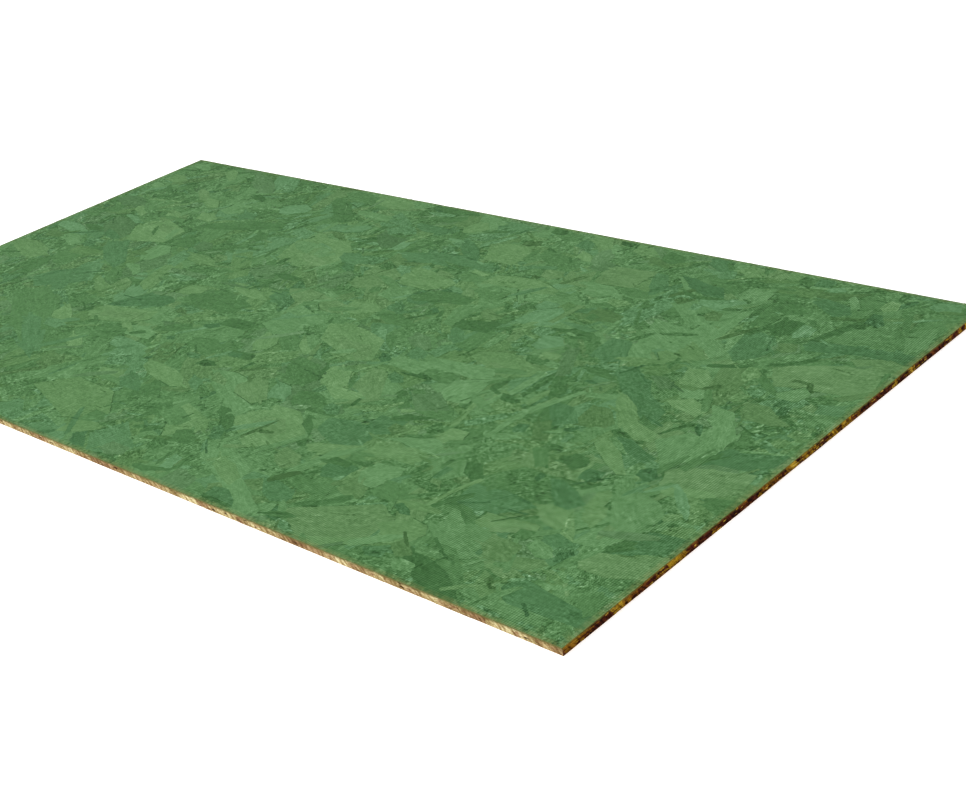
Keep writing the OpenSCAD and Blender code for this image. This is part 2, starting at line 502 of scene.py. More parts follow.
PLACED = [
    (6, "g", (928, -339, 994, -256, 1069, -311, 1051, -374, 982, -391)),
    (7, "y", (-397, 207, -429, 298, -384, 344, -280, 338, -203, 277, -232, 220, -307, 194)),
    (3, "g", (-60, -71, -17, -51, 47, -99, 61, -124, 25, -132)),
    (6, "g", (268, -131, 312, -104, 404, -141, 402, -175, 352, -207)),
    (6, "g", (646, 382, 703, 423, 751, 417, 787, 345, 750, 308)),
    (6, "y", (724, 232, 800, 276, 865, 205, 792, 162)),
    (6, "g", (632, -294, 678, -239, 739, -262, 757, -321, 712, -359)),
    (6, "g", (800, -468, 856, -423, 928, -440, 955, -493, 907, -532)),
    (6, "g", (985, -543, 1064, -529, 1141, -555, 1160, -590, 1080, -590, 1014, -586)),
    (5.4, "y", (-366, -483, -292, -416, -158, -424, -83, -486, -161, -543)),
    (3, "g", (-893, -206, -826, -153, -715, -190, -502, -344, -553, -389, -733, -315)),
    (7, "g", (1145, -286, 1105, -387, 1043, -395, 1021, -326)),
    (8, "g", (1083, -333, 1130, -306, 1124, -348, 1104, -378, 1086, -366)),
    (3, "b", (980, -383, 998, -371, 1060, -398, 1050, -414, 1017, -421)),
    (2, "g", (1037, -370, 1074, -324, 1068, -320, 1033, -362)),
    (7, "y", (971, -252, 1009, -244, 1049, -303, 1052, -348, 1019, -333, 989, -290)),
    (7, "y", (924, -335, 951, -320, 999, -328, 1039, -372, 1053, -394, 1007, -380, 974, -372, 946, -358)),
    (2, "b", (888, -259, 914, -255, 958, -272, 999, -298, 983, -324, 954, -324, 922, -297)),
    (3, "b", (784, -333, 845, -327, 901, -333, 932, -343, 887, -387, 845, -397, 784, -393)),
    (7, "y", (865, -393, 926, -388, 976, -383, 982, -400, 936, -414, 887, -433, 867, -422)),
    (2, "g", (951, -402, 981, -398, 981, -428, 954, -430)),
    (7, "g", (995, -412, 1037, -422, 1057, -446, 1029, -454, 997, -438)),
    (1, "b", (1049, -424, 1072, -412, 1088, -428, 1084, -448, 1061, -450)),
    (6, "o", (997, -468, 1047, -453, 1090, -474, 1047, -490, 1011, -494)),
    (4, "o", (926, -438, 987, -438, 999, -486, 956, -498, 924, -468)),
    (2, "b", (1037, -533, 1057, -506, 1128, -518, 1221, -531, 1221, -561, 1138, -565, 1078, -570, 1045, -558)),
    (3, "g", (865, -502, 895, -496, 956, -543, 986, -568, 971, -584, 926, -558, 883, -533)),
    (0, "g", (809, -525, 845, -532, 900, -543, 941, -558, 986, -586, 999, -611, 921, -611, 875, -580, 833, -557)),
    (8, "g", (835, -561, 870, -563, 881, -582, 845, -590, 829, -577)),
    (6, "g", (823, -515, 877, -517, 895, -534, 845, -539)),
    (7, "g", (807, -411, 827, -411, 865, -442, 877, -459, 845, -463, 813, -437)),
    (2, "g", (792, -393, 835, -397, 877, -431, 861, -439, 817, -409, 792, -413)),
    (8, "y", (764, -467, 806, -471, 821, -502, 794, -513, 766, -505)),
    (6, "y", (981, -518, 1007, -528, 1043, -558, 1027, -580, 995, -558)),
    (1, "o", (1001, -526, 1033, -548, 1023, -555, 998, -539)),
    (2, "b", (1100, -398, 1126, -356, 1145, -310, 1221, -300, 1221, -344, 1179, -364, 1140, -386)),
    (1, "g", (1099, -398, 1124, -350, 1145, -343, 1151, -364, 1124, -390)),
    (7, "o", (1223, -356, 1223, -419, 1159, -445, 1107, -445, 1092, -424, 1094, -402)),
    (1, "b", (1054, -278, 1068, -273, 1080, -308, 1066, -306)),
    (2, "g", (1027, -273, 1039, -272, 1038, -288, 1028, -287)),
    (1, "b", (859, -255, 875, -258, 876, -278, 864, -274)),
    (6, "o", (946, -18, 973, -10, 997, -26, 1009, -78, 989, -116, 956, -94, 944, -58)),
    (8, "g", (1031, -3, 1100, -54, 1041, -145, 1005, -110)),
    (7, "g", (1007, 44, 1047, 38, 1060, 12, 1037, 0, 1005, 20)),
    (5, "o", (1035, 102, 1078, 108, 1120, 78, 1151, 64, 1118, 50, 1058, 50, 1039, 72)),
    (2, "b", (785, 96, 825, 96, 848, 62, 878, 28, 908, 2, 938, -14, 922, -43, 900, -33, 864, 0, 823, 24, 785, 48)),
    (1, "g", (880, 2, 908, -2, 936, -14, 922, -42, 900, -32)),
    (7, "y", (801, 32, 829, 30, 866, 0, 901, -40, 959, -60, 967, -86, 936, -94, 896, -74, 854, -44, 815, 2)),
    (8, "y", (894, 48, 924, 78, 959, 64, 989, 48, 983, 18, 952, 27, 920, 32)),
    (8, "g", (876, 124, 943, 124, 953, 84, 916, 62, 890, 86)),
    (4, "o", (955, 124, 983, 124, 993, 92, 972, 100)),
    (7, "y", (997, 124, 1029, 124, 1009, 92, 994, 101)),
    (2, "b", (997, 68, 1017, 81, 1024, 67, 1002, 56)),
    (1, "b", (1095, 118, 1113, 118, 1119, 92, 1102, 89)),
    (1, "b", (1001, 4, 1012, 2, 1033, -34, 1021, -29, 1004, -13)),
    (5, "n", (1001, -23, 1023, -28, 1023, -44, 1001, -39)),
    (2, "g", (996, -84, 1028, -44, 1020, -40, 993, -72)),
    (2, "b", (896, -98, 931, -95, 982, -118, 1013, -128, 1003, -150, 982, -145, 950, -134, 924, -114)),
    (1, "b", (1027, -148, 1054, -179, 1037, -194, 1011, -185, 1007, -168)),
    (7, "b", (1001, -143, 1027, -142, 1034, -152, 1011, -159)),
    (7, "y", (874, -117, 896, -112, 946, -142, 999, -193, 983, -200, 936, -175, 896, -149, 876, -133)),
    (1, "g", (903, -225, 857, -199, 875, -175, 907, -180, 917, -202)),
    (7, "y", (914, -181, 927, -192, 928, -217, 916, -235, 909, -219, 919, -202)),
    (2, "b", (926, -206, 962, -202, 968, -238, 930, -239)),
    (5, "g", (1001, -196, 1019, -196, 1060, -248, 1027, -250, 996, -224)),
    (8, "g", (813, -163, 851, -151, 852, -162, 829, -171)),
    (1, "g", (799, -171, 837, -168, 847, -183, 815, -189)),
    (1, "b", (795, -117, 821, -101, 816, -123, 800, -128)),
    (1, "g", (886, -72, 913, -93, 896, -99, 875, -84)),
    (3, "o", (870, -66, 838, -94, 794, -99, 784, -25, 827, -25)),
    (2, "g", (1159, -186, 1221, -172, 1221, -230, 1167, -210)),
    (0, "g", (1193, 68, 1205, 68, 1210, 52, 1195, 56)),
    (3, "o", (833, -205, 857, -221, 846, -238, 829, -223)),
    (2, "b", (1102, -42, 1130, -44, 1195, -18, 1211, -24, 1205, -54, 1189, -89, 1108, -99, 1070, -124, 1057, -135, 1078, -93)),
    (1, "g", (1056, -136, 1082, -84, 1100, -58, 1104, -78, 1084, -124)),
    (7, "o", (1193, -94, 1203, -148, 1170, -185, 1077, -207, 1049, -154, 1066, -127)),
    (8, "y", (1078, -206, 1090, -188, 1149, -172, 1175, -178, 1128, -210, 1090, -215)),
    (8, "g", (1120, -48, 1193, -24, 1200, -17, 1126, -37)),
    (7, "g", (766, 515, 802, 502, 810, 331, 786, 336, 768, 420)),
    (2, "b", (864, 603, 897, 603, 905, 571, 897, 555, 868, 565)),
    (8, "b", (900, 563, 931, 581, 944, 565, 917, 548)),
    (8, "g", (864, 560, 907, 566, 902, 556, 865, 551)),
    (2, "o", (899, 545, 957, 561, 997, 577, 987, 557, 959, 529, 935, 508, 905, 520)),
    (2, "b", (1010, 480, 982, 457, 907, 500, 924, 523, 988, 510)),
    (7, "g", (972, 555, 989, 539, 1010, 510, 997, 498, 981, 520, 965, 544)),
    (3, "g", (995, 561, 1038, 561, 1050, 530, 1017, 512, 1000, 534)),
    (8, "y", (1046, 561, 1070, 561, 1080, 530, 1058, 513, 1041, 530)),
    (1, "g", (1052, 601, 1069, 601, 1069, 563, 1055, 573)),
    (6, "b", (1126, 589, 1179, 601, 1196, 569, 1159, 552, 1131, 563)),
    (2, "g", (1102, 522, 1120, 522, 1149, 452, 1217, 402, 1221, 385, 1175, 384, 1147, 420, 1126, 470)),
    (1, "b", (1085, 452, 1051, 458, 1045, 501, 1064, 502, 1091, 465)),
    (4, "g", (1151, 457, 1162, 369, 1009, 364, 1026, 441)),
    (0, "g", (994, 351, 1010, 353, 1044, 420, 1055, 448, 1032, 449, 1015, 410)),
    (0, "g", (1032, 452, 1065, 452, 1065, 434, 1042, 431)),
    (2, "b", (1001, 353, 1058, 363, 1149, 376, 1221, 381, 1221, 339, 1128, 342, 1058, 326, 1015, 314, 995, 336)),
    (6, "o", (1106, 321, 1159, 342, 1221, 339, 1221, 299, 1139, 295)),
    (7, "o", (993, 237, 1108, 293, 1191, 299, 1208, 251, 1203, 200, 1035, 178)),
    (1, "g", (981, 231, 1009, 241, 1054, 281, 1060, 303, 1042, 293, 1015, 263, 985, 247)),
    (7, "g", (997, 263, 1027, 273, 1046, 303, 1017, 303, 996, 287)),
    (1, "o", (1052, 195, 1059, 212, 1099, 212, 1120, 181, 1108, 179, 1092, 203, 1060, 200)),
    (7, "g", (1058, 151, 1096, 195, 1120, 171, 1110, 139, 1068, 140)),
    (2, "g", (996, 207, 1033, 181, 1060, 156, 1041, 150, 1000, 181)),
    (4, "o", (983, 121, 936, 117, 911, 191, 957, 212, 989, 168)),
    (0, "g", (880, 193, 885, 181, 908, 191, 953, 210, 959, 223, 935, 217, 896, 202)),
    (8, "y", (957, 217, 983, 222, 999, 191, 982, 165, 960, 186)),
    (2, "g", (844, 432, 892, 420, 886, 369, 854, 359)),
    (0, "g", (922, 343, 883, 376, 900, 422, 950, 412, 950, 360)),
    (8, "b", (950, 406, 983, 401, 989, 366, 961, 349, 951, 365)),
    (1, "g", (946, 426, 963, 430, 979, 405, 968, 406, 957, 417)),
    (6, "g", (900, 430, 943, 441, 948, 415, 911, 413)),
    (8, "g", (800, 502, 818, 502, 828, 400, 833, 309, 810, 309, 807, 400)),
    (1, "g", (825, 462, 837, 455, 843, 420, 837, 384, 828, 400)),
    (2, "g", (838, 492, 876, 492, 929, 452, 896, 430, 856, 440)),
    (3, "b", (866, 343, 927, 343, 933, 301, 959, 291, 949, 251, 916, 224, 884, 251)),
    (5, "b", (915, 337, 933, 337, 954, 311, 942, 299, 921, 315)),
    (4, "o", (951, 323, 987, 332, 999, 306, 982, 289, 961, 295)),
    (7, "g", (765, 336, 808, 323, 848, 281, 888, 239, 868, 213, 836, 239, 795, 259, 767, 281)),
    (8, "y", (858, 164, 896, 174, 928, 142, 933, 110, 874, 108)),
    (1, "g", (986, 223, 999, 217, 993, 204, 981, 212)),
    (2, "g", (812, 193, 823, 188, 825, 146, 814, 151)),
    (2, "g", (794, 530, 848, 536, 847, 526, 794, 519)),
    (2, "g", (820, 506, 868, 517, 862, 507, 820, 499)),
    (7, "y", (792, 603, 832, 603, 828, 569, 799, 572)),
    (2, "g", (824, 580, 862, 570, 868, 548, 839, 558)),
    (4, "b", (1149, 151, 1199, 167, 1211, 131, 1159, 120)),
    (3, "b", (361, -288, 422, -274, 494, -306, 499, -342, 441, -358, 391, -342, 361, -328)),
    (3, "b", (444, -236, 512, -232, 524, -276, 488, -296, 447, -288)),
    (3, "o", (492, -246, 538, -250, 548, -277, 522, -283, 492, -267)),
    (7, "g", (512, -298, 547, -280, 615, -250, 655, -283, 645, -305, 593, -300, 552, -292)),
    (7, "y", (395, -382, 411, -367, 472, -347, 514, -330, 562, -313, 595, -295, 645, -301, 635, -343, 593, -344, 542, -348, 492, -367, 459, -382, 421, -398)),
    (7, "g", (626, -434, 590, -429, 569, -406, 571, -365, 636, -356, 646, -397)),
    (2, "g", (548, -264, 595, -254, 589, -263, 543, -278)),
    (2, "b", (492, -394, 554, -394, 554, -438, 512, -448, 490, -426)),
    (0, "g", (461, -384, 532, -390, 533, -397, 492, -403, 449, -399)),
    (1, "g", (367, -364, 387, -370, 398, -387, 387, -394, 367, -384)),
    (5, "o", (369, -406, 421, -415, 453, -446, 421, -464, 391, -453, 369, -437)),
    (4, "o", (580, -430, 625, -435, 636, -467, 612, -478, 570, -462)),
    (3, "g", (443, -456, 491, -464, 552, -466, 574, -486, 552, -499, 512, -498, 469, -488)),
    (3, "b", (419, -502, 451, -494, 512, -506, 524, -537, 491, -549, 459, -538)),
    (1, "b", (515, -556, 538, -550, 554, -562, 553, -588, 525, -588)),
    (7, "g", (489, -556, 515, -550, 527, -586, 501, -599, 485, -577)),
    (7, "g", (360, -518, 390, -525, 431, -546, 493, -576, 494, -611, 431, -600, 390, -568, 360, -551)),
    (2, "b", (360, -565, 390, -560, 431, -580, 448, -596, 390, -598, 360, -589)),
    (0, "g", (360, -591, 443, -593, 448, -601, 360, -600)),
    (6, "o", (742, -483, 738, -559, 629, -607, 535, -554, 687, -461)),
    (7, "y", (632, -600, 693, -571, 754, -540, 765, -557, 713, -584, 673, -611)),
    (1, "g", (539, -537, 552, -520, 590, -496, 596, -476, 615, -465, 625, -472, 617, -488, 592, -512, 562, -532)),
    (8, "g", (625, -474, 655, -465, 645, -479, 627, -483)),
    (2, "g", (646, -363, 657, -321, 667, -322, 669, -364, 658, -371)),
    (2, "g", (683, -297, 694, -295, 695, -328, 685, -324)),
    (1, "g", (683, -367, 730, -371, 730, -383, 698, -386, 682, -376)),
    (3, "b", (694, -315, 714, -317, 710, -353, 698, -358)),
    (1, "g", (717, -287, 746, -276, 786, -317, 765, -328, 738, -318)),
    (4, "g", (692, -245, 726, -251, 756, -283, 714, -284, 692, -268)),
    (8, "y", (752, -428, 758, -387, 770, -342, 782, -318, 791, -321, 780, -342, 770, -379, 762, -425)),
    (2, "b", (714, -440, 740, -450, 756, -463, 734, -468, 706, -453)),
    (3, "g", (633, -399, 691, -395, 698, -447, 643, -449)),
    (9, "g", (776, -518, 789, -511, 787, -532, 779, -534)),
    (3, "b", (752, -569, 796, -540, 806, -577, 774, -585)),
    (8, "b", (537, -437, 553, -425, 554, -442, 541, -448)),
    (6, "y", (426, 21, 437, 54, 492, 67, 600, 39, 600, 7, 555, -20)),
    (6, "o", (491, 25, 545, 13, 535, -19, 481, -9)),
    (7, "g", (362, -15, 412, -10, 463, -5, 515, -2, 545, -37, 535, -59, 493, -49, 442, -47, 392, -57, 362, -59)),
    (3, "g", (364, -63, 412, -51, 462, -46, 485, -67, 474, -89, 432, -89, 380, -79)),
    (8, "g", (546, -50, 565, -129, 502, -140, 479, -107, 490, -54)),
    (0, "g", (364, -82, 392, -76, 428, -84, 428, -93, 392, -95, 364, -93)),
    (3, "g", (432, -135, 492, -135, 553, -155, 590, -192, 553, -199, 492, -198, 472, -186, 447, -160)),
    (1, "g", (405, -146, 422, -143, 448, -160, 474, -186, 442, -198, 420, -183)),
    (2, "b", (420, -139, 453, -159, 479, -186, 468, -189, 436, -167)),
    (8, "y", (460, -202, 492, -190, 491, -202, 472, -213)),
    (1, "g", (470, -227, 497, -210, 534, -200, 555, -196, 533, -213, 492, -238, 470, -243)),
    (2, "g", (556, -211, 573, -205, 595, -222, 600, -239, 573, -243)),
    (8, "y", (656, -237, 634, -261, 600, -249, 600, -210, 645, -210)),
    (7, "y", (567, -77, 583, -115, 606, -197, 598, -214, 590, -197, 579, -147, 563, -97)),
    (1, "g", (556, -58, 565, -23, 574, -17, 579, -57, 573, -67)),
    (1, "g", (612, -63, 618, -36, 627, -36, 625, -69)),
    (1, "g", (555, -57, 594, -68, 594, -77, 563, -68)),
    (1, "g", (596, -66, 624, -66, 655, -79, 650, -91, 611, -89)),
    (6, "g", (628, -57, 654, -45, 676, -57, 665, -79, 634, -70)),
    (4, "b", (612, -10, 634, -11, 646, -37, 630, -44, 614, -28)),
    (2, "o", (642, 39, 665, 38, 696, 8, 697, -27, 684, -39, 663, -7)),
    (4, "o", (601, 104, 624, 94, 641, 62, 628, 60, 607, 87)),
    (0, "g", (683, 38, 695, 38, 695, 26, 685, 26)),
    (8, "y", (711, -33, 700, -70, 688, -114, 678, -111, 693, -67, 700, -35)),
    (3, "b", (738, -49, 775, -60, 807, -93, 785, -109, 755, -89)),
    (1, "g", (704, -47, 730, -40, 757, -97, 787, -147, 798, -174, 775, -175, 742, -149, 716, -97)),
    (2, "b", (707, -142, 730, -135, 738, -162, 719, -171, 707, -158)),
    (7, "g", (692, -188, 729, -171, 742, -182, 730, -199, 697, -205)),
    (2, "g", (672, -178, 689, -167, 698, -178, 678, -189)),
    (0, "g", (769, -116, 781, -115, 784, -130, 772, -129)),
    (3, "g", (692, -105, 736, -106, 741, -129, 693, -124)),
    (1, "g", (652, 82, 694, 92, 739, 95, 727, 82, 684, 76)),
    (2, "b", (800, 38, 740, 88, 734, 115, 755, 127, 798, 108)),
    (7, "b", (672, 76, 715, 82, 747, 74, 742, 66, 694, 66)),
    (2, "g", (531, 74, 553, 79, 597, 63, 586, 51, 546, 53)),
    (0, "g", (575, 81, 590, 75, 593, 66, 578, 71)),
    (7, "y", (551, 104, 596, 104, 597, 82, 561, 76)),
    (7, "g", (411, 126, 440, 126, 434, 61, 417, 61)),
    (3, "g", (363, 124, 407, 124, 412, 31, 362, 41)),
    (3, "o", (439, 49, 493, 66, 515, 79, 493, 77, 441, 58)),
    (1, "b", (376, 39, 393, 36, 391, 26, 379, 28)),
    (7, "g", (743, 6, 807, 23, 807, 6, 753, -10)),
    (1, "g", (668, -81, 685, -78, 685, -93, 673, -97)),
    (7, "y", (392, 601, 464, 591, 477, 569, 444, 548, 402, 563)),
    (2, "g", (489, 591, 536, 581, 547, 559, 525, 538, 494, 549, 482, 569)),
    (3, "o", (473, 560, 494, 548, 541, 529, 524, 517, 482, 528, 457, 545)),
    (2, "b", (593, 611, 645, 611, 666, 570, 687, 549, 645, 547, 603, 569)),
    (7, "g", (653, 605, 687, 611, 697, 579, 680, 557, 662, 573)),
    (1, "g", (643, 601, 672, 569, 663, 559, 638, 589)),
    (7, "y", (693, 601, 736, 591, 758, 559, 715, 547, 688, 569)),
    (1, "g", (724, 605, 737, 600, 753, 573, 743, 572)),
    (7, "o", (754, 605, 798, 590, 793, 557, 754, 562)),
    (2, "g", (734, 534, 762, 541, 798, 520, 766, 510, 728, 514)),
    (0, "g", (691, 509, 711, 516, 708, 506, 693, 503)),
    (5, "b", (655, 554, 685, 559, 699, 529, 675, 517, 657, 524)),
    (1, "g", (432, 510, 470, 523, 465, 513, 438, 505)),
    (1, "o", (427, 482, 445, 476, 443, 466, 431, 471)),
    (3, "n", (364, 501, 414, 491, 426, 470, 394, 443, 364, 450)),
    (6, "o", (363, 454, 425, 432, 447, 400, 436, 368, 362, 368)),
    (6, "o", (528, 494, 527, 407, 431, 397, 410, 440, 420, 483)),
    (3, "g", (497, 399, 534, 412, 574, 402, 591, 381, 554, 369, 522, 380)),
    (3, "b", (527, 490, 557, 492, 587, 450, 598, 420, 585, 397, 554, 428, 537, 460)),
    (1, "b", (615, 502, 647, 492, 677, 471, 698, 450, 676, 443, 633, 454)),
    (7, "g", (595, 506, 637, 462, 647, 450, 625, 453, 587, 490)),
    (1, "g", (625, 446, 675, 432, 737, 442, 747, 435, 695, 418, 653, 424)),
    (8, "b", (695, 420, 790, 449, 801, 410, 766, 387, 711, 398)),
    (6, "b", (693, 400, 716, 400, 717, 375, 698, 370)),
    (1, "g", (770, 456, 797, 451, 799, 439, 785, 447)),
    (1, "g", (728, 367, 741, 372, 749, 361, 734, 354)),
    (3, "o", (748, 386, 778, 382, 788, 351, 765, 344, 743, 361)),
    (1, "g", (603, 396, 616, 402, 619, 386, 606, 375)),
    (2, "g", (592, 373, 622, 362, 621, 340, 597, 330)),
    (2, "o", (648, 411, 666, 417, 677, 395, 660, 384, 643, 395)),
    (7, "g", (442, 383, 486, 388, 517, 361, 474, 339, 432, 351)),
    (1, "g", (463, 337, 475, 326, 493, 305, 484, 304, 468, 326)),
    (7, "y", (517, 347, 555, 353, 577, 341, 554, 319, 522, 331)),
    (2, "o", (600, 259, 519, 247, 519, 305, 600, 293)),
    (1, "g", (527, 277, 556, 267, 550, 249, 527, 251)),
    (9, "g", (558, 223, 570, 225, 570, 213, 560, 213)),
    (1, "g", (496, 191, 534, 209, 596, 204, 601, 191, 554, 190, 501, 180)),
    (1, "g", (552, 188, 615, 194, 637, 172, 594, 175, 552, 165)),
    (0, "g", (521, 175, 551, 160, 548, 154, 524, 167)),
    (9, "g", (538, 189, 566, 183, 563, 176, 541, 179)),
    (3, "b", (639, 207, 688, 207, 726, 140, 695, 117, 642, 128)),
    (2, "g", (592, 204, 621, 193, 637, 162, 647, 132, 635, 119, 617, 162)),
    (6, "g", (597, 272, 610, 277, 618, 217, 605, 213)),
    (7, "g", (666, 308, 804, 296, 792, 205, 699, 205)),
    (7, "g", (693, 204, 737, 204, 768, 172, 746, 145, 713, 162)),
    (2, "g", (673, 327, 691, 333, 697, 318, 679, 315)),
    (2, "g", (653, 342, 675, 348, 671, 335)),
    (2, "g", (612, 332, 651, 271, 644, 267, 607, 326)),
    (2, "g", (363, 264, 389, 268, 395, 242, 378, 220, 363, 226)),
    (6, "b", (391, 283, 435, 283, 446, 252, 413, 240, 391, 252)),
    (7, "g", (391, 233, 443, 244, 496, 234, 537, 223, 535, 200, 493, 190, 443, 180, 401, 192)),
    (4, "y", (441, 254, 480, 216, 471, 212, 436, 242)),
    (2, "g", (363, 204, 395, 193, 390, 160, 363, 165)),
    (1, "g", (406, 159, 429, 143, 435, 129, 422, 130, 404, 150)),
    (7, "b", (501, 154, 545, 164, 577, 132, 553, 110, 511, 110)),
    (2, "g", (572, 154, 596, 159, 607, 131, 582, 125)),
    (7, "g", (-31, -257, 20, -247, 82, -257, 138, -295, 176, -341, 186, -375, 140, -361, 79, -337, 29, -313, -21, -287)),
    (6, "o", (180, -297, 163, -324, 87, -306, 67, -283, 81, -244, 112, -238)),
    (6, "o", (-19, -261, 30, -279, 45, -297, 1, -295, -23, -279)),
    (7, "y", (379, -367, 292, -447, 173, -379, 217, -304, 284, -299)),
    (6, "o", (230, -345, 280, -335, 321, -367, 312, -397, 260, -391, 226, -369)),
    (1, "g", (111, -357, 140, -357, 182, -379, 208, -409, 228, -447, 212, -455, 186, -427, 160, -397, 127, -379)),
    (3, "b", (174, -407, 200, -419, 222, -449, 203, -457, 179, -433)),
    (7, "y", (32, -379, 142, -410, 165, -435, 101, -494, 32, -417)),
    (2, "g", (-33, -414, -1, -392, 35, -418, 31, -442, -1, -448, -29, -432)),
    (2, "g", (180, -491, 131, -500, 110, -465, 139, -446, 178, -469)),
    (2, "g", (97, -502, 121, -497, 143, -509, 131, -537, 103, -530)),
    (1, "g", (141, -587, 189, -575, 241, -557, 231, -573, 179, -597, 147, -595)),
    (7, "g", (218, -465, 252, -447, 320, -469, 383, -496, 382, -558, 340, -547, 290, -525, 237, -507)),
    (7, "y", (276, -487, 330, -495, 380, -524, 380, -552, 330, -535, 286, -515)),
    (2, "g", (212, -239, 253, -228, 293, -240, 343, -256, 363, -284, 301, -290, 240, -279, 218, -265)),
    (4, "b", (311, -244, 341, -250, 363, -272, 341, -284, 315, -272)),
    (8, "y", (249, -204, 291, -228, 323, -238, 353, -222, 365, -194, 281, -192)),
    (1, "g", (307, -298, 333, -304, 363, -340, 379, -360, 351, -344, 325, -332)),
    (1, "g", (10, -199, 26, -199, 22, -233, 11, -231)),
    (0, "g", (-99, -239, -71, -233, -49, -245, -71, -259, -103, -259)),
    (2, "g", (-126, -421, -125, -346, -97, -350, -50, -387)),
    (8, "y", (-123, -296, -71, -312, -39, -340, -61, -352, -101, -346, -123, -340)),
    (4, "b", (91, -550, 61, -590, 5, -601, -48, -556, -16, -488)),
    (5, "n", (28, -554, 84, -554, 92, -576, 54, -592, 22, -582)),
    (1, "b", (-79, -566, -62, -550, -50, -564, -30, -580, -10, -596, -42, -602, -64, -592)),
    (6, "y", (-124, -533, -72, -522, -40, -534, -72, -562, -125, -585)),
    (3, "g", (-124, -488, -92, -492, -70, -508, -92, -526, -124, -535)),
    (1, "g", (-11, -480, 8, -463, 25, -458, 4, -482)),
    (8, "b", (189, -523, 215, -529, 225, -565, 199, -573)),
    (1, "g", (173, -513, 185, -523, 188, -573, 177, -557)),
    (2, "g", (219, -513, 235, -507, 241, -557, 227, -563)),
    (0, "g", (350, -208, 360, -208, 365, -240, 353, -232)),
    (3, "g", (118, -199, 170, -194, 192, -204, 186, -227, 154, -233, 128, -221)),
    (6, "b", (140, -233, 182, -237, 208, -259, 212, -283, 180, -289, 152, -267)),
    (4, "b", (-63, -292, -19, -303, 11, -325, -11, -338, -43, -322)),
    (3, "g", (-9, -317, 19, -317, 53, -339, 41, -353, 7, -343)),
    (1, "g", (-53, -390, -21, -378, -15, -373, -35, -390, -45, -398)),
    (2, "o", (54, -233, 66, -235, 88, -263, 80, -267, 62, -251)),
    (1, "g", (45, -392, 73, -367, 99, -389, 93, -391, 73, -375)),
    (1, "g", (33, -422, 49, -440, 73, -462, 67, -462, 45, -444)),
    (7, "y", (25, 3, 87, 25, 205, -4, 249, -79, 209, -102, 67, -59)),
    (6, "o", (97, -24, 141, -40, 193, -34, 225, -56, 229, -88, 181, -80, 139, -68, 107, -46)),
    (6, "o", (-121, 105, -59, 95, -7, 85, 13, 63, -9, 42, -51, 42, -91, 73, -121, 93)),
    (7, "y", (90, 95, 41, 60, 9, 60, -12, 79, -12, 105, 52, 118)),
    (7, "g", (-121, 44, -59, 26, -7, 16, 15, -6, -9, -28, -69, -30, -121, 4)),
    (6, "b", (-111, 4, -59, -4, -35, -36, -70, -60, -112, -38)),
    (6, "o", (-110, 206, -58, 206, -14, 194, -36, 171, -68, 159, -100, 173)),
    (3, "g", (-30, 179, -8, 190, 4, 169, -8, 155, -24, 161)),
    (0, "g", (6, 200, 16, 196, 30, 182, 20, 184)),
    (1, "g", (-50, 147, -38, 144, -28, 130, -39, 132)),
    (6, "g", (10, 206, 84, 206, 94, 163, 74, 141, 30, 151, 10, 173)),
    (5, "o", (-8, 145, 46, 141, 44, 131, -9, 130)),
    (2, "b", (90, 194, 134, 189, 156, 172, 144, 155, 106, 155, 90, 172)),
    (3, "b", (90, 145, 114, 140, 136, 117, 124, 105, 96, 105, 80, 119)),
    (1, "g", (212, 154, 223, 154, 244, 111, 232, 111)),
    (3, "g", (84, 105, 142, 100, 194, 89, 216, 73, 194, 59, 141, 59, 109, 71, 89, 83)),
    (1, "o", (99, 63, 129, 64, 123, 49, 105, 48)),
    (5, "g", (286, 208, 290, 106, 260, 109, 234, 173, 244, 206)),
    (0, "g", (285, 139, 333, 152, 385, 162, 385, 111, 342, 109, 300, 95, 291, 113)),
    (3, "b", (300, 109, 334, 99, 366, 63, 354, 45, 326, 67, 300, 93)),
    (5, "o", (301, 206, 367, 178, 355, 164, 323, 164, 300, 182)),
    (4, "n", (240, 55, 284, 49, 326, 13, 314, -9, 272, 7, 245, 23)),
    (2, "g", (190, 34, 214, 23, 233, -7, 259, -33, 246, -28, 219, -13, 194, 8)),
    (1, "b", (244, -44, 273, -49, 296, -72, 283, -84, 254, -68)),
    (7, "g", (288, -43, 386, -34, 386, -86, 292, -79)),
    (3, "b", (290, 5, 334, -5, 346, -27, 322, -41, 295, -29)),
    (0, "g", (340, -91, 384, -86, 384, -94, 356, -95)),
    (1, "g", (314, -100, 338, -115, 339, -128, 321, -112)),
    (3, "b", (330, -95, 364, -104, 384, -122, 362, -134, 335, -118)),
    (8, "y", (287, -182, 274, -201, 229, -201, 203, -178, 192, -133, 243, -127)),
    (6, "o", (276, -101, 324, -107, 387, -187, 375, -206, 297, -179)),
    (1, "g", (264, -139, 277, -144, 299, -182, 313, -199, 291, -184, 270, -158)),
    (3, "n", (210, -198, 96, -205, 85, -122, 180, -132)),
    (1, "g", (175, -134, 192, -145, 213, -198, 197, -204, 185, -168)),
    (4, "g", (139, -109, 183, -109, 188, -128, 155, -129)),
    (8, "y", (29, -65, 61, -89, 103, -115, 92, -128, 48, -103, 29, -78)),
    (6, "g", (29, -49, 61, -59, 95, -86, 95, -108, 61, -89, 29, -66)),
    (1, "g", (-1, -44, 28, -41, 28, -58, 9, -67)),
    (2, "g", (-73, -76, -30, -69, -7, -59, -18, -88, -40, -94, -62, -88)),
    (7, "y", (-73, -83, -30, -93, -5, -116, -5, -146, -30, -164, -63, -137)),
    (2, "g", (-118, -125, -80, -108, -67, -115, -90, -127, -122, -135)),
    (3, "g", (-122, -148, -70, -148, -66, -177, -100, -189, -122, -177)),
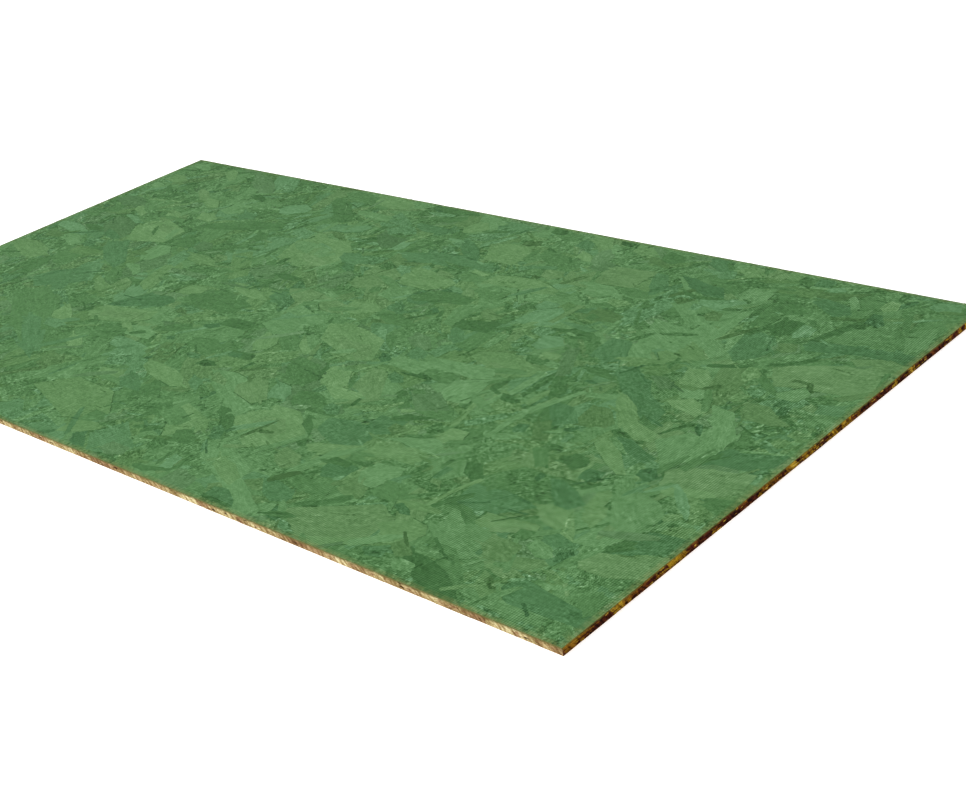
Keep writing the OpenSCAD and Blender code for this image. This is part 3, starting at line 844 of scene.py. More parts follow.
    (1, "g", (-72, -179, -8, -173, 4, -195, -40, -203, -72, -197)),
    (2, "b", (-72, -187, -40, -181, -32, -199, -64, -203)),
    (1, "g", (4, 31, 13, 25, 28, 2, 18, 2)),
    (8, "b", (144, 45, 173, 34, 194, 8, 187, 1, 154, 23)),
    (3, "n", (91, 33, 131, 25, 141, 15, 95, 18)),
    (1, "g", (240, 95, 250, 87, 254, 79, 242, 85)),
    (9, "g", (93, 69, 111, 71, 115, 63, 99, 61)),
    (6.5, "y", (57, 470, 166, 506, 200, 432, 187, 396, 109, 396)),
    (2, "b", (-21, 474, 23, 454, 55, 434, 87, 402, 97, 379, 51, 389, 11, 418, -21, 450)),
    (3, "b", (-9, 385, 43, 395, 85, 385, 125, 379, 145, 389, 177, 351, 125, 343, 103, 327, 53, 333, -7, 327, -50, 317, -91, 329, -111, 351)),
    (2, "g", (23, 353, 79, 347, 117, 351, 111, 329, 53, 337)),
    (1, "g", (-109, 381, -93, 402, -83, 432, -65, 444, -69, 430, -85, 389, -100, 359, -114, 359)),
    (2, "g", (-79, 493, -47, 503, -23, 482, -35, 456, -57, 446)),
    (7, "y", (-68, 563, -26, 563, -2, 541, -25, 505, -57, 495, -78, 519)),
    (4, "o", (-118, 600, -86, 592, -63, 559, -74, 525, -96, 515, -118, 527)),
    (5, "b", (12, 590, 54, 592, 98, 581, 86, 555, 44, 555, 21, 569)),
    (1, "g", (142, 600, 186, 602, 198, 579, 174, 571, 147, 577)),
    (3, "g", (192, 590, 236, 593, 248, 559, 214, 545, 191, 564)),
    (3, "b", (251, 577, 286, 567, 299, 544, 279, 524, 257, 537)),
    (7, "g", (245, 591, 257, 586, 253, 537, 245, 542)),
    (6, "o", (252, 536, 276, 531, 297, 498, 284, 501, 262, 524)),
    (1, "o", (127, 516, 171, 527, 178, 509, 153, 491, 131, 497)),
    (1, "g", (207, 506, 242, 496, 236, 488, 211, 493)),
    (3, "g", (204, 493, 300, 483, 299, 447, 253, 440, 220, 458)),
    (8, "y", (292, 522, 326, 511, 352, 480, 336, 476, 302, 488)),
    (5, "n", (332, 561, 366, 541, 386, 521, 386, 458, 352, 478, 337, 509)),
    (7, "g", (342, 581, 366, 571, 386, 551, 386, 529, 364, 537, 342, 559)),
    (0, "g", (342, 601, 386, 597, 386, 579, 352, 583)),
    (7, "y", (262, 602, 316, 602, 348, 559, 336, 540, 302, 557, 272, 584)),
    (3, "g", (297, 473, 336, 468, 348, 440, 335, 416, 301, 423, 291, 440)),
    (8, "b", (342, 452, 376, 442, 386, 430, 362, 434)),
    (6, "o", (281, 413, 335, 413, 347, 386, 323, 367, 291, 379)),
    (6, "o", (387, 433, 386, 368, 361, 362, 341, 423)),
    (7, "y", (201, 343, 243, 354, 295, 359, 345, 349, 385, 333, 385, 309, 333, 298, 283, 308, 231, 298, 196, 309)),
    (7, "g", (181, 303, 233, 299, 297, 304, 307, 286, 253, 268, 199, 279)),
    (1, "o", (276, 378, 300, 372, 295, 359, 280, 361)),
    (2, "b", (156, 388, 180, 372, 175, 353, 161, 364)),
    (9, "y", (126, 348, 153, 341, 185, 338, 175, 323, 136, 323)),
    (4, "g", (111, 333, 133, 324, 185, 324, 197, 301, 153, 287, 121, 299)),
    (7, "y", (-11, 305, 94, 290, 137, 274, 137, 252, 105, 217, 19, 217, -11, 252)),
    (6, "o", (50, 313, 84, 309, 116, 293, 104, 280, 60, 288)),
    (6, "o", (-111, 264, -58, 276, -16, 254, -4, 222, -26, 198, -88, 198, -115, 232)),
    (7, "b", (-61, 295, -28, 294, -4, 272, -28, 259, -55, 276)),
    (2, "g", (-106, 305, -59, 282, -65, 264, -88, 257, -106, 270)),
    (0, "b", (196, 200, 162, 193, 140, 215, 140, 244, 196, 234)),
    (1, "g", (190, 229, 234, 224, 246, 207, 202, 194)),
    (6, "b", (145, 259, 174, 254, 196, 238, 172, 234, 140, 245)),
    (7, "o", (181, 274, 205, 264, 230, 232, 212, 224, 190, 240)),
    (4, "g", (206, 278, 245, 270, 287, 284, 297, 262, 273, 238, 241, 238, 216, 260)),
    (7, "g", (301, 304, 325, 294, 356, 256, 343, 253, 316, 279)),
    (8, "g", (336, 293, 385, 314, 385, 269, 351, 264)),
    (1, "g", (316, 244, 340, 234, 350, 215, 333, 220)),
    (1, "g", (-17, 430, -3, 424, 7, 408, -1, 410)),
    (8, "b", (-67, 456, -27, 462, -7, 452, -17, 446, -57, 448)),
    (1, "g", (101, 331, 111, 321, 106, 303, 99, 309)),
    (1, "g", (5, 333, 19, 329, 28, 309, 14, 315)),
    (9, "b", (93, 385, 121, 379, 127, 371, 105, 375)),
    (7, "y", (-585, -199, -573, -157, -407, -125, -399, -164, -429, -193, -543, -224)),
    (6, "o", (-550, -174, -480, -154, -430, -144, -420, -170, -481, -190, -541, -202)),
    (2, "b", (-578, -154, -562, -116, -540, -89, -521, -55, -500, -65, -452, -58, -422, -75, -430, -107, -490, -126, -530, -146)),
    (1, "b", (-572, -152, -558, -122, -540, -116, -530, -136, -550, -152)),
    (7, "y", (-479, -19, -469, 7, -409, 10, -391, -15, -410, -33, -449, -36)),
    (3, "g", (-401, 16, -359, 4, -309, -11, -249, -14, -228, -41, -260, -67, -310, -65, -370, -67, -412, -61, -422, -41, -396, -29)),
    (2, "b", (-302, -25, -272, -30, -254, -45, -272, -57, -298, -43)),
    (1, "g", (-125, -85, -138, -103, -217, -108, -215, -68, -138, -68)),
    (6, "b", (-613, -42, -535, -74, -571, -139, -603, -115)),
    (6, "o", (-671, -33, -629, -45, -607, -74, -630, -96, -671, -90)),
    (2, "b", (-672, -142, -630, -154, -612, -164, -625, -181, -650, -176, -672, -170)),
    (1, "g", (-612, -211, -617, -194, -612, -178, -595, -172, -583, -190)),
    (8, "y", (-672, -191, -630, -213, -587, -243, -611, -265, -651, -255, -673, -235)),
    (2, "g", (-495, -234, -481, -218, -451, -204, -421, -219, -404, -239, -431, -256, -463, -256, -451, -240)),
    (7, "g", (-416, -201, -361, -187, -317, -204, -306, -231, -395, -237)),
    (2, "n", (-347, -154, -310, -143, -276, -145, -290, -161, -321, -187, -337, -174)),
    (1, "b", (-248, -121, -220, -104, -202, -115, -220, -132, -242, -131)),
    (1, "b", (-283, -199, -261, -191, -249, -204, -266, -211)),
    (4, "b", (-639, -321, -592, -308, -504, -380, -529, -399, -583, -386)),
    (3, "g", (-564, -311, -531, -317, -508, -335, -532, -347, -559, -335)),
    (8, "y", (-508, -291, -471, -291, -439, -313, -428, -335, -462, -335, -493, -318)),
    (6, "b", (-653, -263, -611, -256, -569, -268, -581, -291, -633, -291)),
    (7, "y", (-215, -292, -161, -292, -109, -304, -109, -346, -161, -336, -203, -320)),
    (7, "y", (-286, -361, -232, -357, -208, -374, -230, -398, -274, -397)),
    (3, "b", (-195, -344, -161, -359, -131, -374, -108, -398, -172, -400, -206, -376)),
    (3, "g", (-216, -172, -150, -162, -106, -185, -108, -228, -206, -205)),
    (4, "b", (-159, -227, -123, -225, -113, -241, -139, -246, -161, -238)),
    (2, "o", (-382, -89, -350, -94, -338, -106, -370, -109)),
    (5, "n", (-529, -55, -449, -35, -428, -45, -450, -55, -510, -67)),
    (1, "g", (-633, -39, -613, -31, -593, -55, -599, -61, -615, -45)),
    (6, "b", (-369, -15, -340, -39, -320, -41, -339, -15)),
    (8, "g", (-362, -125, -342, -131, -346, -139, -366, -133)),
    (7, "y", (-459, 600, -405, 604, -335, 600, -304, 578, -316, 547, -356, 542, -415, 549, -437, 568)),
    (3, "g", (-529, 600, -475, 594, -443, 558, -475, 537, -507, 544, -539, 574)),
    (6, "g", (-430, 501, -356, 507, -304, 501, -293, 480, -316, 458, -356, 475, -408, 480)),
    (1, "g", (-480, 481, -446, 472, -416, 450, -394, 440, -406, 423, -448, 429, -470, 450)),
    (2, "g", (-468, 499, -426, 480, -406, 462, -436, 462, -464, 483)),
    (6, "b", (-302, 431, -308, 400, -347, 384, -391, 378, -413, 396, -335, 443)),
    (6, "b", (-446, 404, -410, 408, -405, 385, -431, 367, -454, 381)),
    (7, "y", (-411, 363, -377, 351, -337, 321, -325, 300, -367, 310, -411, 341)),
    (3, "o", (-379, 379, -347, 377, -313, 353, -327, 345, -367, 359)),
    (6, "g", (-411, 304, -347, 304, -295, 294, -286, 262, -328, 250, -390, 262, -421, 282)),
    (7, "o", (-342, 249, -298, 249, -246, 232, -234, 210, -278, 206, -330, 227)),
    (7, "b", (-649, 450, -605, 478, -561, 462, -562, 430, -586, 408, -628, 408, -649, 425)),
    (2, "g", (-512, 272, -537, 254, -570, 267, -582, 305, -537, 299)),
    (0, "g", (-563, 298, -551, 299, -547, 290, -559, 289)),
    (2, "n", (-255, 427, -227, 416, -157, 411, -160, 361, -187, 349, -219, 371, -249, 396)),
    (1, "b", (-250, 611, -216, 595, -199, 578, -216, 570, -244, 583)),
    (7, "b", (-240, 559, -206, 570, -154, 575, -154, 559, -196, 548)),
    (2, "g", (-210, 540, -156, 551, -116, 580, -104, 559, -136, 527, -188, 527)),
    (3, "b", (-210, 501, -146, 501, -105, 501, -105, 468, -157, 463, -191, 475)),
    (7, "b", (-159, 402, -135, 402, -125, 371, -147, 329, -164, 329, -157, 361)),
    (2, "b", (-201, 253, -168, 249, -145, 227, -158, 215, -190, 227)),
    (4, "b", (-252, 293, -208, 303, -156, 283, -168, 250, -208, 250, -240, 267)),
    (1, "g", (-322, 138, -288, 149, -239, 144, -206, 133, -239, 124, -301, 124)),
    (6, "o", (-213, 93, -169, 110, -107, 105, -107, 42, -149, 52, -191, 74)),
    (3, "b", (-222, 64, -189, 54, -156, 28, -199, 22, -227, 44)),
    (7, "y", (-373, 64, -309, 66, -249, 45, -205, 22, -269, 17, -341, 34)),
    (6, "y", (-632, 134, -578, 140, -528, 125, -505, 104, -568, 97, -620, 109)),
    (6, "o", (-561, 159, -528, 160, -505, 143, -518, 122, -550, 134)),
    (3, "n", (-669, 205, -627, 194, -605, 173, -628, 151, -669, 161)),
    (1, "g", (-368, 211, -353, 219, -352, 183, -363, 176, -372, 193)),
    (1, "g", (-284, 452, -268, 452, -268, 398, -280, 399)),
    (2, "g", (-508, 402, -493, 397, -491, 341, -507, 329)),
    (1, "g", (-609, 354, -566, 352, -534, 339, -556, 336, -598, 342)),
    (7, "b", (-579, 284, -566, 284, -561, 221, -573, 217)),
    (1, "g", (-444, 249, -433, 239, -422, 191, -433, 197)),
    (0, "g", (-351, 116, -334, 116, -325, 106, -345, 106)),
    (1, "g", (-639, 489, -613, 483, -609, 478, -633, 481)),
    (7, "y", (-937, 236, -885, 256, -781, 226, -772, 151, -890, 120, -951, 193)),
    (6, "o", (-885, 235, -836, 231, -796, 213, -802, 191, -846, 199, -882, 217)),
    (1, "g", (-888, 221, -874, 209, -854, 185, -842, 169, -868, 183, -884, 203)),
    (3, "n", (-913, 134, -935, 111, -988, 121, -1058, 164, -1069, 224, -965, 210)),
    (2, "b", (-1015, 154, -966, 144, -918, 122, -936, 110, -990, 118)),
    (7, "b", (-1058, 245, -1005, 240, -962, 216, -970, 206, -1015, 224, -1051, 234)),
    (7, "b", (-1208, 134, -1154, 146, -1105, 136, -1053, 115, -1043, 93, -1095, 93, -1145, 103, -1196, 113)),
    (7, "g", (-1109, 95, -1046, 86, -1003, 55, -1017, 33, -1066, 53, -1110, 63)),
    (3, "o", (-1169, 86, -1115, 81, -1093, 65, -1126, 53, -1167, 53)),
    (6, "y", (-1199, 16, -1126, 18, -1057, -3, -1024, -34, -1057, -66, -1107, -56, -1166, -35, -1210, -14)),
    (1, "g", (-1107, 156, -1065, 156, -1031, 150, -1023, 134, -1065, 127, -1097, 138, -1118, 149)),
    (1, "g", (-961, 55, -907, 67, -874, 60, -897, 49, -949, 46)),
    (3, "g", (-911, 94, -867, 101, -817, 66, -768, 36, -745, 5, -788, -7, -820, 5, -859, 35, -889, 55)),
    (3, "b", (-999, 75, -966, 82, -944, 60, -967, 48, -993, 55)),
    (7, "g", (-770, 134, -727, 141, -695, 114, -708, 62, -738, 53, -770, 84)),
    (7, "g", (-751, 25, -708, 32, -666, 5, -666, -17, -708, 3, -740, 14)),
    (3, "g", (-772, 1, -728, -4, -686, -35, -697, -66, -719, -66, -751, -25)),
    (6, "y", (-752, -52, -699, -73, -657, -84, -658, -126, -699, -106, -741, -74)),
    (5, "b", (-743, -85, -788, -99, -853, -77, -863, -13, -808, -2)),
    (3, "n", (-913, -61, -823, -114, -848, -149, -903, -149)),
    (1, "g", (-1011, -102, -978, -102, -965, -118, -998, -120)),
    (3, "g", (-1012, 7, -924, 6, -914, -34, -948, -57, -1000, -34)),
    (3, "g", (-1206, 234, -1154, 219, -1121, 203, -1154, 192, -1206, 201)),
    (3, "g", (-1146, 283, -1113, 283, -1102, 243, -1134, 236, -1156, 253)),
    (2, "g", (-1101, 224, -1079, 219, -1073, 174, -1096, 162)),
    (7, "y", (-1087, 304, -1044, 293, -1000, 262, -1003, 247, -1064, 270)),
    (2, "g", (-809, 248, -766, 244, -743, 253, -756, 226, -788, 226)),
    (2, "g", (-680, 150, -740, 149, -752, 213, -727, 217)),
    (4, "g", (-654, 199, -708, 199, -751, 294, -696, 306, -653, 284)),
    (1, "b", (-1193, 265, -1175, 268, -1163, 253, -1181, 249)),
    (4, "n", (-936, 589, -872, 584, -803, 540, -761, 499, -804, 487, -855, 509, -905, 539)),
    (1, "g", (-944, 553, -922, 565, -900, 548, -913, 532)),
    (1, "g", (-817, 475, -784, 478, -752, 460, -750, 449, -784, 451, -811, 462)),
    (1, "g", (-989, 500, -963, 490, -920, 455, -933, 450, -963, 464, -984, 488)),
    (8, "g", (-974, 501, -962, 495, -930, 464, -939, 461)),
    (7, "y", (-1044, 589, -1011, 580, -970, 539, -959, 507, -992, 528, -1044, 558)),
    (6, "o", (-1006, 451, -963, 441, -901, 401, -902, 385, -953, 400, -995, 430)),
    (7, "y", (-927, 411, -874, 406, -832, 371, -865, 359, -906, 381)),
    (2, "g", (-981, 402, -953, 402, -948, 361, -969, 349, -986, 371)),
    (7, "g", (-732, 371, -765, 348, -808, 359, -808, 413, -745, 413)),
    (7, "y", (-848, 332, -805, 338, -763, 313, -764, 290, -827, 295)),
    (3, "b", (-728, 382, -685, 382, -659, 351, -696, 339, -727, 349)),
    (1, "g", (-742, 347, -721, 347, -714, 339, -736, 336)),
    (1, "g", (-1134, 441, -1112, 427, -1072, 403, -1049, 389, -1082, 395, -1124, 410)),
    (3, "n", (-1185, 333, -1133, 343, -1081, 323, -1071, 292, -1133, 280, -1184, 300)),
    (6, "y", (-1193, 500, -1151, 501, -1109, 479, -1131, 453, -1183, 458)),
    (7, "g", (-1194, 441, -1151, 431, -1119, 410, -1152, 399, -1193, 408)),
    (7, "g", (-1192, 579, -1150, 590, -1108, 558, -1130, 546, -1172, 551)),
    (2, "g", (-1163, 554, -1130, 549, -1118, 538, -1140, 532)),
    (3, "g", (-906, 466, -864, 461, -851, 440, -884, 428, -905, 438)),
    (7, "g", (-849, 500, -828, 505, -817, 470, -834, 448, -845, 464)),
    (6, "g", (-707, 574, -674, 569, -656, 539, -696, 542)),
    (7, "y", (-956, 313, -905, 304, -872, 272, -937, 275)),
    (1, "g", (-712, 505, -702, 499, -703, 470, -711, 474)),
    (2, "g", (91, 179, 115, 217, 166, 233, 251, 226, 236, 192, 166, 184, 119, 163)),
    (1, "b", (583, 502, 631, 495, 678, 483, 705, 484, 737, 440, 683, 443, 637, 460)),
    (2, "g", (726, -119, 758, -107, 792, -158, 788, -172, 751, -155)),
    (7, "g", (604, -60, 603, -25, 611, 37, 625, 30, 624, -37, 620, -69)),
    (1, "g", (632, -55, 627, 4, 634, 48, 649, 37, 648, -13, 647, -65)),
    (7, "y", (661, -75, 667, -25, 674, 26, 688, 15, 683, -35, 677, -85)),
    (1, "g", (1065, -239, 1090, -240, 1109, -223, 1115, -230, 1097, -250, 1074, -252)),
    (1, "g", (762, -423, 777, -391, 806, -361, 812, -369, 790, -398, 773, -428)),
    (7, "g", (436, -464, 461, -381, 506, -334, 521, -342, 481, -394, 460, -475)),
    (2, "g", (-430, -30, -390, -9, -362, 28, -219, -10, -246, -54, -348, -76)),
    (2, "g", (-786, 248, -754, 289, -653, 342, -556, 358, -572, 314, -683, 271)),
    (2, "g", (-736, 153, -729, 211, -682, 198, -670, 152)),
    (2, "g", (-481, -269, -475, -234, -410, -214, -386, -245, -413, -276)),
    (2, "g", (-336, -175, -315, -149, -277, -133, -257, -152, -307, -187)),
    (3, "b", (-911, 64, -931, 94, -876, 122, -762, 27, -759, -10, -841, 18)),
    (2, "g", (-1044, -100, -1030, -59, -998, -26, -973, -57, -960, -121)),
    (3, "b", (-926, -131, -900, -83, -824, -29, -751, -88, -796, -125, -866, -169)),
    (3, "b", (-689, -312, -719, -271, -669, -270, -580, -332, -488, -416, -563, -388)),
    (3, "g", (-691, -162, -660, -124, -615, -161, -627, -187)),
    (2, "g", (-251, 586, -202, 615, -123, 615, -89, 588, -166, 572)),
    (2, "g", (-548, 514, -557, 546, -495, 537, -399, 454, -437, 430)),
    (3, "g", (-565, 582, -442, 586, -422, 548, -511, 546)),
    (0, "g", (-804, 467, -796, 483, -745, 463, -742, 444)),
    (3, "n", (585, 129, 609, 144, 665, 48, 644, 27)),
    (1, "g", (643, 24, 667, 41, 709, -14, 696, -52)),
    (2, "b", (717, -72, 713, -50, 762, -49, 778, -95, 766, -121)),
    (2, "o", (729, -127, 756, -104, 797, -166, 771, -181)),
    (2, "b", (730, 106, 770, 128, 823, 75, 924, 9, 930, -35, 877, -6, 799, 42)),
    (3, "n", (809, 110, 842, 121, 882, 92, 864, 71)),
    (7, "g", (680, -202, 676, -105, 707, -43, 734, 11, 743, 4, 718, -56, 693, -117, 694, -209)),
    (2, "g", (105, -186, 88, -135, 164, -144, 212, -195, 196, -225, 140, -215)),
    (2, "g", (423, -169, 436, -151, 474, -192, 452, -203)),
    (3, "n", (435, -150, 482, -118, 553, -162, 492, -196)),
    (2, "g", (558, -235, 568, -205, 606, -229, 576, -246)),
    (2, "g", (662, -374, 697, -371, 745, -381, 737, -394, 683, -386)),
    (1, "g", (461, -406, 493, -398, 533, -395, 534, -403, 472, -412)),
    (8, "g", (982, 68, 1033, 64, 1090, -9, 1093, -71, 1068, -110, 1051, -59, 1038, -5)),
    (6.6, "g", (1018, -253, 1054, -226, 1102, -235, 1133, -261, 1140, -308, 1109, -333, 1073, -326)),
    (6.5, "y", (724, -505, 750, -481, 803, -471, 824, -495, 811, -527, 761, -537)),
    (7, "b", (397, 184, 408, 241, 450, 272, 497, 235, 488, 198, 436, 173)),
    (6.5, "g", (-124, -62, -104, -21, -44, -3, -2, -49, -49, -91)),
    (6, "g", (1148, 424, 1162, 486, 1193, 490, 1211, 409, 1187, 376)),
    (7, "g", (968, -78, 1006, -28, 1048, -38, 1045, -107, 1031, -144)),
    (3, "g", (790, -197, 813, -175, 856, -231, 841, -247)),
    (1.5, "g", (673, 82, 706, 88, 754, 78, 783, 54, 737, 65, 689, 70)),
    (3, "g", (1158, -498, 1178, -476, 1205, -485, 1210, -526, 1198, -540)),
    (3, "o", (788, -540, 802, -514, 849, -547, 825, -564)),
    (4, "g", (3, -430, 40, -399, 104, -425, 88, -464)),
]

# Where many short broken pieces lie at once: x from, x to, y from, y to, how dense, how light.
BUSY = [
    (1100, 1219, -300, -240, 1.0, 4), (880, 1000, -500, -400, 1.0, 4), (1040, 1219, -510, -450, 1.0, 7),
    (1000, 1219, -609, -570, 0.9, 5), (1000, 1219, 20, 120, 0.8, 4), (1060, 1219, -20, 40, 0.9, 5),
    (930, 970, -240, -205, 1.0, 4), (1030, 1150, 360, 450, 0.9, 4), (620, 700, 200, 290, 0.9, 4),
    (380, 450, -300, -250, 1.0, 4), (720, 770, 15, 55, 1.0, 4), (650, 695, -140, -105, 1.0, 4),
    (450, 490, -440, -400, 0.9, 4), (640, 705, -460, -430, 0.9, 4), (1150, 1219, -230, -190, 0.9, 4),
    (170, 250, -570, -480, 1.0, 5), (150, 215, 100, 190, 0.9, 3), (255, 300, -50, 0, 1.0, 7),
    (10, 70, 20, 55, 0.9, 4), (-110, -20, -480, -410, 0.9, 5), (20, 100, -500, -440, 0.8, 4),
    (60, 150, 190, 240, 0.7, 5), (300, 370, 180, 260, 0.8, 4), (-90, 20, 350, 440, 0.9, 4),
    (150, 250, 350, 400, 0.8, 3), (0, 130, 560, 605, 0.7, 4), (-390, -330, -130, -80, 0.8, 4),
    (-260, -200, -70, -20, 0.8, 5), (-280, -190, -290, -200, 0.8, 4), (-600, -480, 150, 400, 0.5, 4),
    (-460, -330, 150, 230, 0.7, 4), (-270, -170, 290, 400, 0.5, 4), (-1050, -930, -130, 0, 0.7, 4),
    (-900, -820, -40, 30, 0.9, 5), (-1219, -1160, -40, 300, 0.6, 4), (-1200, -1100, 330, 420, 0.8, 5),
    (-960, -830, 320, 400, 0.7, 5), (-1090, -1000, 400, 500, 0.6, 4), (340, 400, 210, 300, 0.6, 5),
]

HUES = {"g": (-1, 1, -1), "b": (-2.2, 0.8, 2.8), "o": (1.2, -0.6, -2.5), "y": (0.6, 0.4, -3), "n": (0.8, -0.8, 1.6)}


def linear(rgb):
    """Display values from 0 to 255, as linear light."""
    c = np.clip(np.asarray(rgb, float) / 255, 0, 1)
    return np.where(c <= 0.04045, c / 12.92, ((c + 0.055) / 1.055) ** 2.4)


def ramp(t, stops):
    """A colour between stops that are evenly spaced from 0 to 1."""
    t = min(max(t, 0.0), 1.0) * (len(stops) - 1)
    k = min(int(t), len(stops) - 2)
    return np.array(stops[k], float) * (1 - (t - k)) + np.array(stops[k + 1], float) * (t - k)


STAIN = [(54.8, 93.2, 49.8), (63.8, 102.6, 57.8), (72.4, 111.2, 65.6), (79.6, 118.3, 72.8), (85.4, 124.2, 78.6), (90.2, 129.4, 83)]
BARE = [(128, 86, 48), (168, 124, 76), (196, 154, 102), (214, 176, 124), (226, 194, 146), (236, 210, 168)]
SAWN_LONG = [(48, 28, 18), (92, 66, 38), (130, 102, 70), (148, 128, 87), (162, 147, 103), (176, 160, 118)]
# the short edges' wood is darker than the long edges': partly darker wood, partly painted shade, as if these edges
# stood out of the light
SAWN_SHORT = [(40, 10, 4), (70, 28, 8), (96, 58, 10), (121, 90, 12), (146, 114, 34), (180, 148, 78)]


def stained(tone, hue):
    return linear(ramp(tone / 9, STAIN) + HUES[hue])


rng = np.random.default_rng(41)


def one_of(choices, weights):
    return choices[int(rng.choice(len(choices), p=np.array(weights) / sum(weights)))]


def grain_of(points):
    """The middle and the long direction of an outline."""
    p = np.asarray(points, float)
    fine = np.concatenate([p + (np.roll(p, -1, 0) - p) * k / 6 for k in range(6)])
    mid = fine.mean(0)
    values, vectors = np.linalg.eigh(np.cov((fine - mid).T))
    return mid, math.atan2(vectors[1, 1], vectors[0, 1])


def torn(points, angle, amount=1.0):
    """An outline whose sides along the grain are nearly clean, and whose ends are torn into fibres."""
    out = []
    along = np.array([math.cos(angle), math.sin(angle)])
    for a, b in zip(points, points[1:] + points[:1]):
        a, b = np.array(a, float), np.array(b, float)
        size = math.hypot(*(b - a))
        across = size > 0 and abs(np.dot(b - a, along)) / size < 0.75
        n = max(1, round(size / (8.0 if across else 26.0)))
        for k in range(n):
            p = a + (b - a) * (k / n) + rng.uniform(-0.6, 0.6, 2) * amount
            if across and 0 < k:
                p = p + along * rng.uniform(-3.4, 3.4) * amount
            out.append(p)
    return np.array(out)


class Face(Sheet):
    """One broad face of the sheet, with what each strand is."""

    def strand(self, outline, tone, hue, depth, middle, angle, rough):
        return self.paint(outline, tone=float(np.clip(tone, 0, 9)), hue=hue, depth=max(depth, 0.0), mid=middle, angle=angle,
                          rough=rough, seed=float(rng.uniform(0, 1000)), wide=0.0)

    def loose(self, cx, cy, length, width, angle, tone, hue, depth, rough=0.9, torn=1.0, point=0.5):
        cut = (rng.uniform(-0.5, 0.5), rng.uniform(-0.5, 0.5))
        taper = (rng.uniform(0, point), rng.uniform(0, point))
        line = strand_outline(rng, cx, cy, length, width, angle, cut, taper, torn, rng.uniform(-0.02, 0.02))
        return self.strand(line, tone, hue, depth, (cx, cy), angle, rough)


def depth_for(tone):
    """Dark places are low and light ones are high, with some chance in it. In mm."""
    return 0.05 + (9 - tone) * 0.034 + rng.uniform(-0.03, 0.06)


def ground_tone(x, y):
    """The general tone of the sheet at a place, in mm from its low corner."""
    for tone, flat in GROUND:
        pts = [(flat[k] - X0, flat[k + 1] - Y0) for k in range(0, len(flat), 2)]
        inside = False
        for (ax, ay), (bx, by) in zip(pts, pts[1:] + pts[:1]):
            if (ay > y) != (by > y) and x < ax + (y - ay) * (bx - ax) / (by - ay):
                inside = not inside
        if inside:
            return tone
    return 4.8


top = Face(LX, LY, 1.27, 1.27)
top.strand([(-9, -9), (LX + 9, -9), (LX + 9, LY + 9), (-9, LY + 9)], 3, "g", 0.6, (0, 0), 0.4, 1.0)
for k in range(600):
    x, y = rng.uniform(-30, LX + 30), rng.uniform(-30, LY + 30)
    tone = float(np.clip(ground_tone(x, y) + rng.normal(0, 0.7), 0.5, 8.5))
    top.loose(x, y, rng.uniform(110, 250), rng.uniform(32, 90),
              rng.uniform(0, math.pi), tone, one_of("gboyn", (45, 18, 12, 15, 10)), depth_for(tone) + 0.14, rng.uniform(0.4, 1.0))
for k in range(460):
    x, y = rng.uniform(0, LX), rng.uniform(0, LY)
    tone = float(np.clip(ground_tone(x, y) + rng.normal(-0.1, 1.6), 0, 9))
    along = rng.normal(0.85, 0.4) if rng.random() < 0.4 else rng.uniform(0, math.pi)
    top.loose(x, y, rng.uniform(30, 140), rng.uniform(7, 24), along, tone, one_of("gboyn", (50, 20, 8, 12, 10)), depth_for(tone) + 0.06, 0.9, 0.8)
for x0, x1, y0, y1, dense, light in BUSY:
    x0, x1, y0, y1 = x0 - X0, x1 - X0, y0 - Y0, y1 - Y0
    for k in range(int((x1 - x0) * (y1 - y0) / 480 * dense)):
        tone = float(np.clip(rng.normal(light + 0.7, 2.4), 0, 9))
        top.loose(rng.uniform(x0, x1), rng.uniform(y0, y1), rng.uniform(14, 48), rng.uniform(5, 12),
                  rng.uniform(0, math.pi), tone, one_of("gbon", (60, 22, 6, 12)), depth_for(tone), 1.0, 0.7)
for k in range(120):
    x, y = rng.uniform(0, LX), rng.uniform(0, LY)
    dark = rng.random() < 0.6
    top.loose(x, y, rng.uniform(45, 130), rng.uniform(8, 20), rng.normal(0.8, 0.35), rng.uniform(1.0, 2.8) if dark else rng.uniform(6.8, 8.2),
              one_of("gby", (70, 15, 15)), 0.35 if dark else 0.04, 0.8, 0.5, 0.9)
placed_from = len(top.strands)
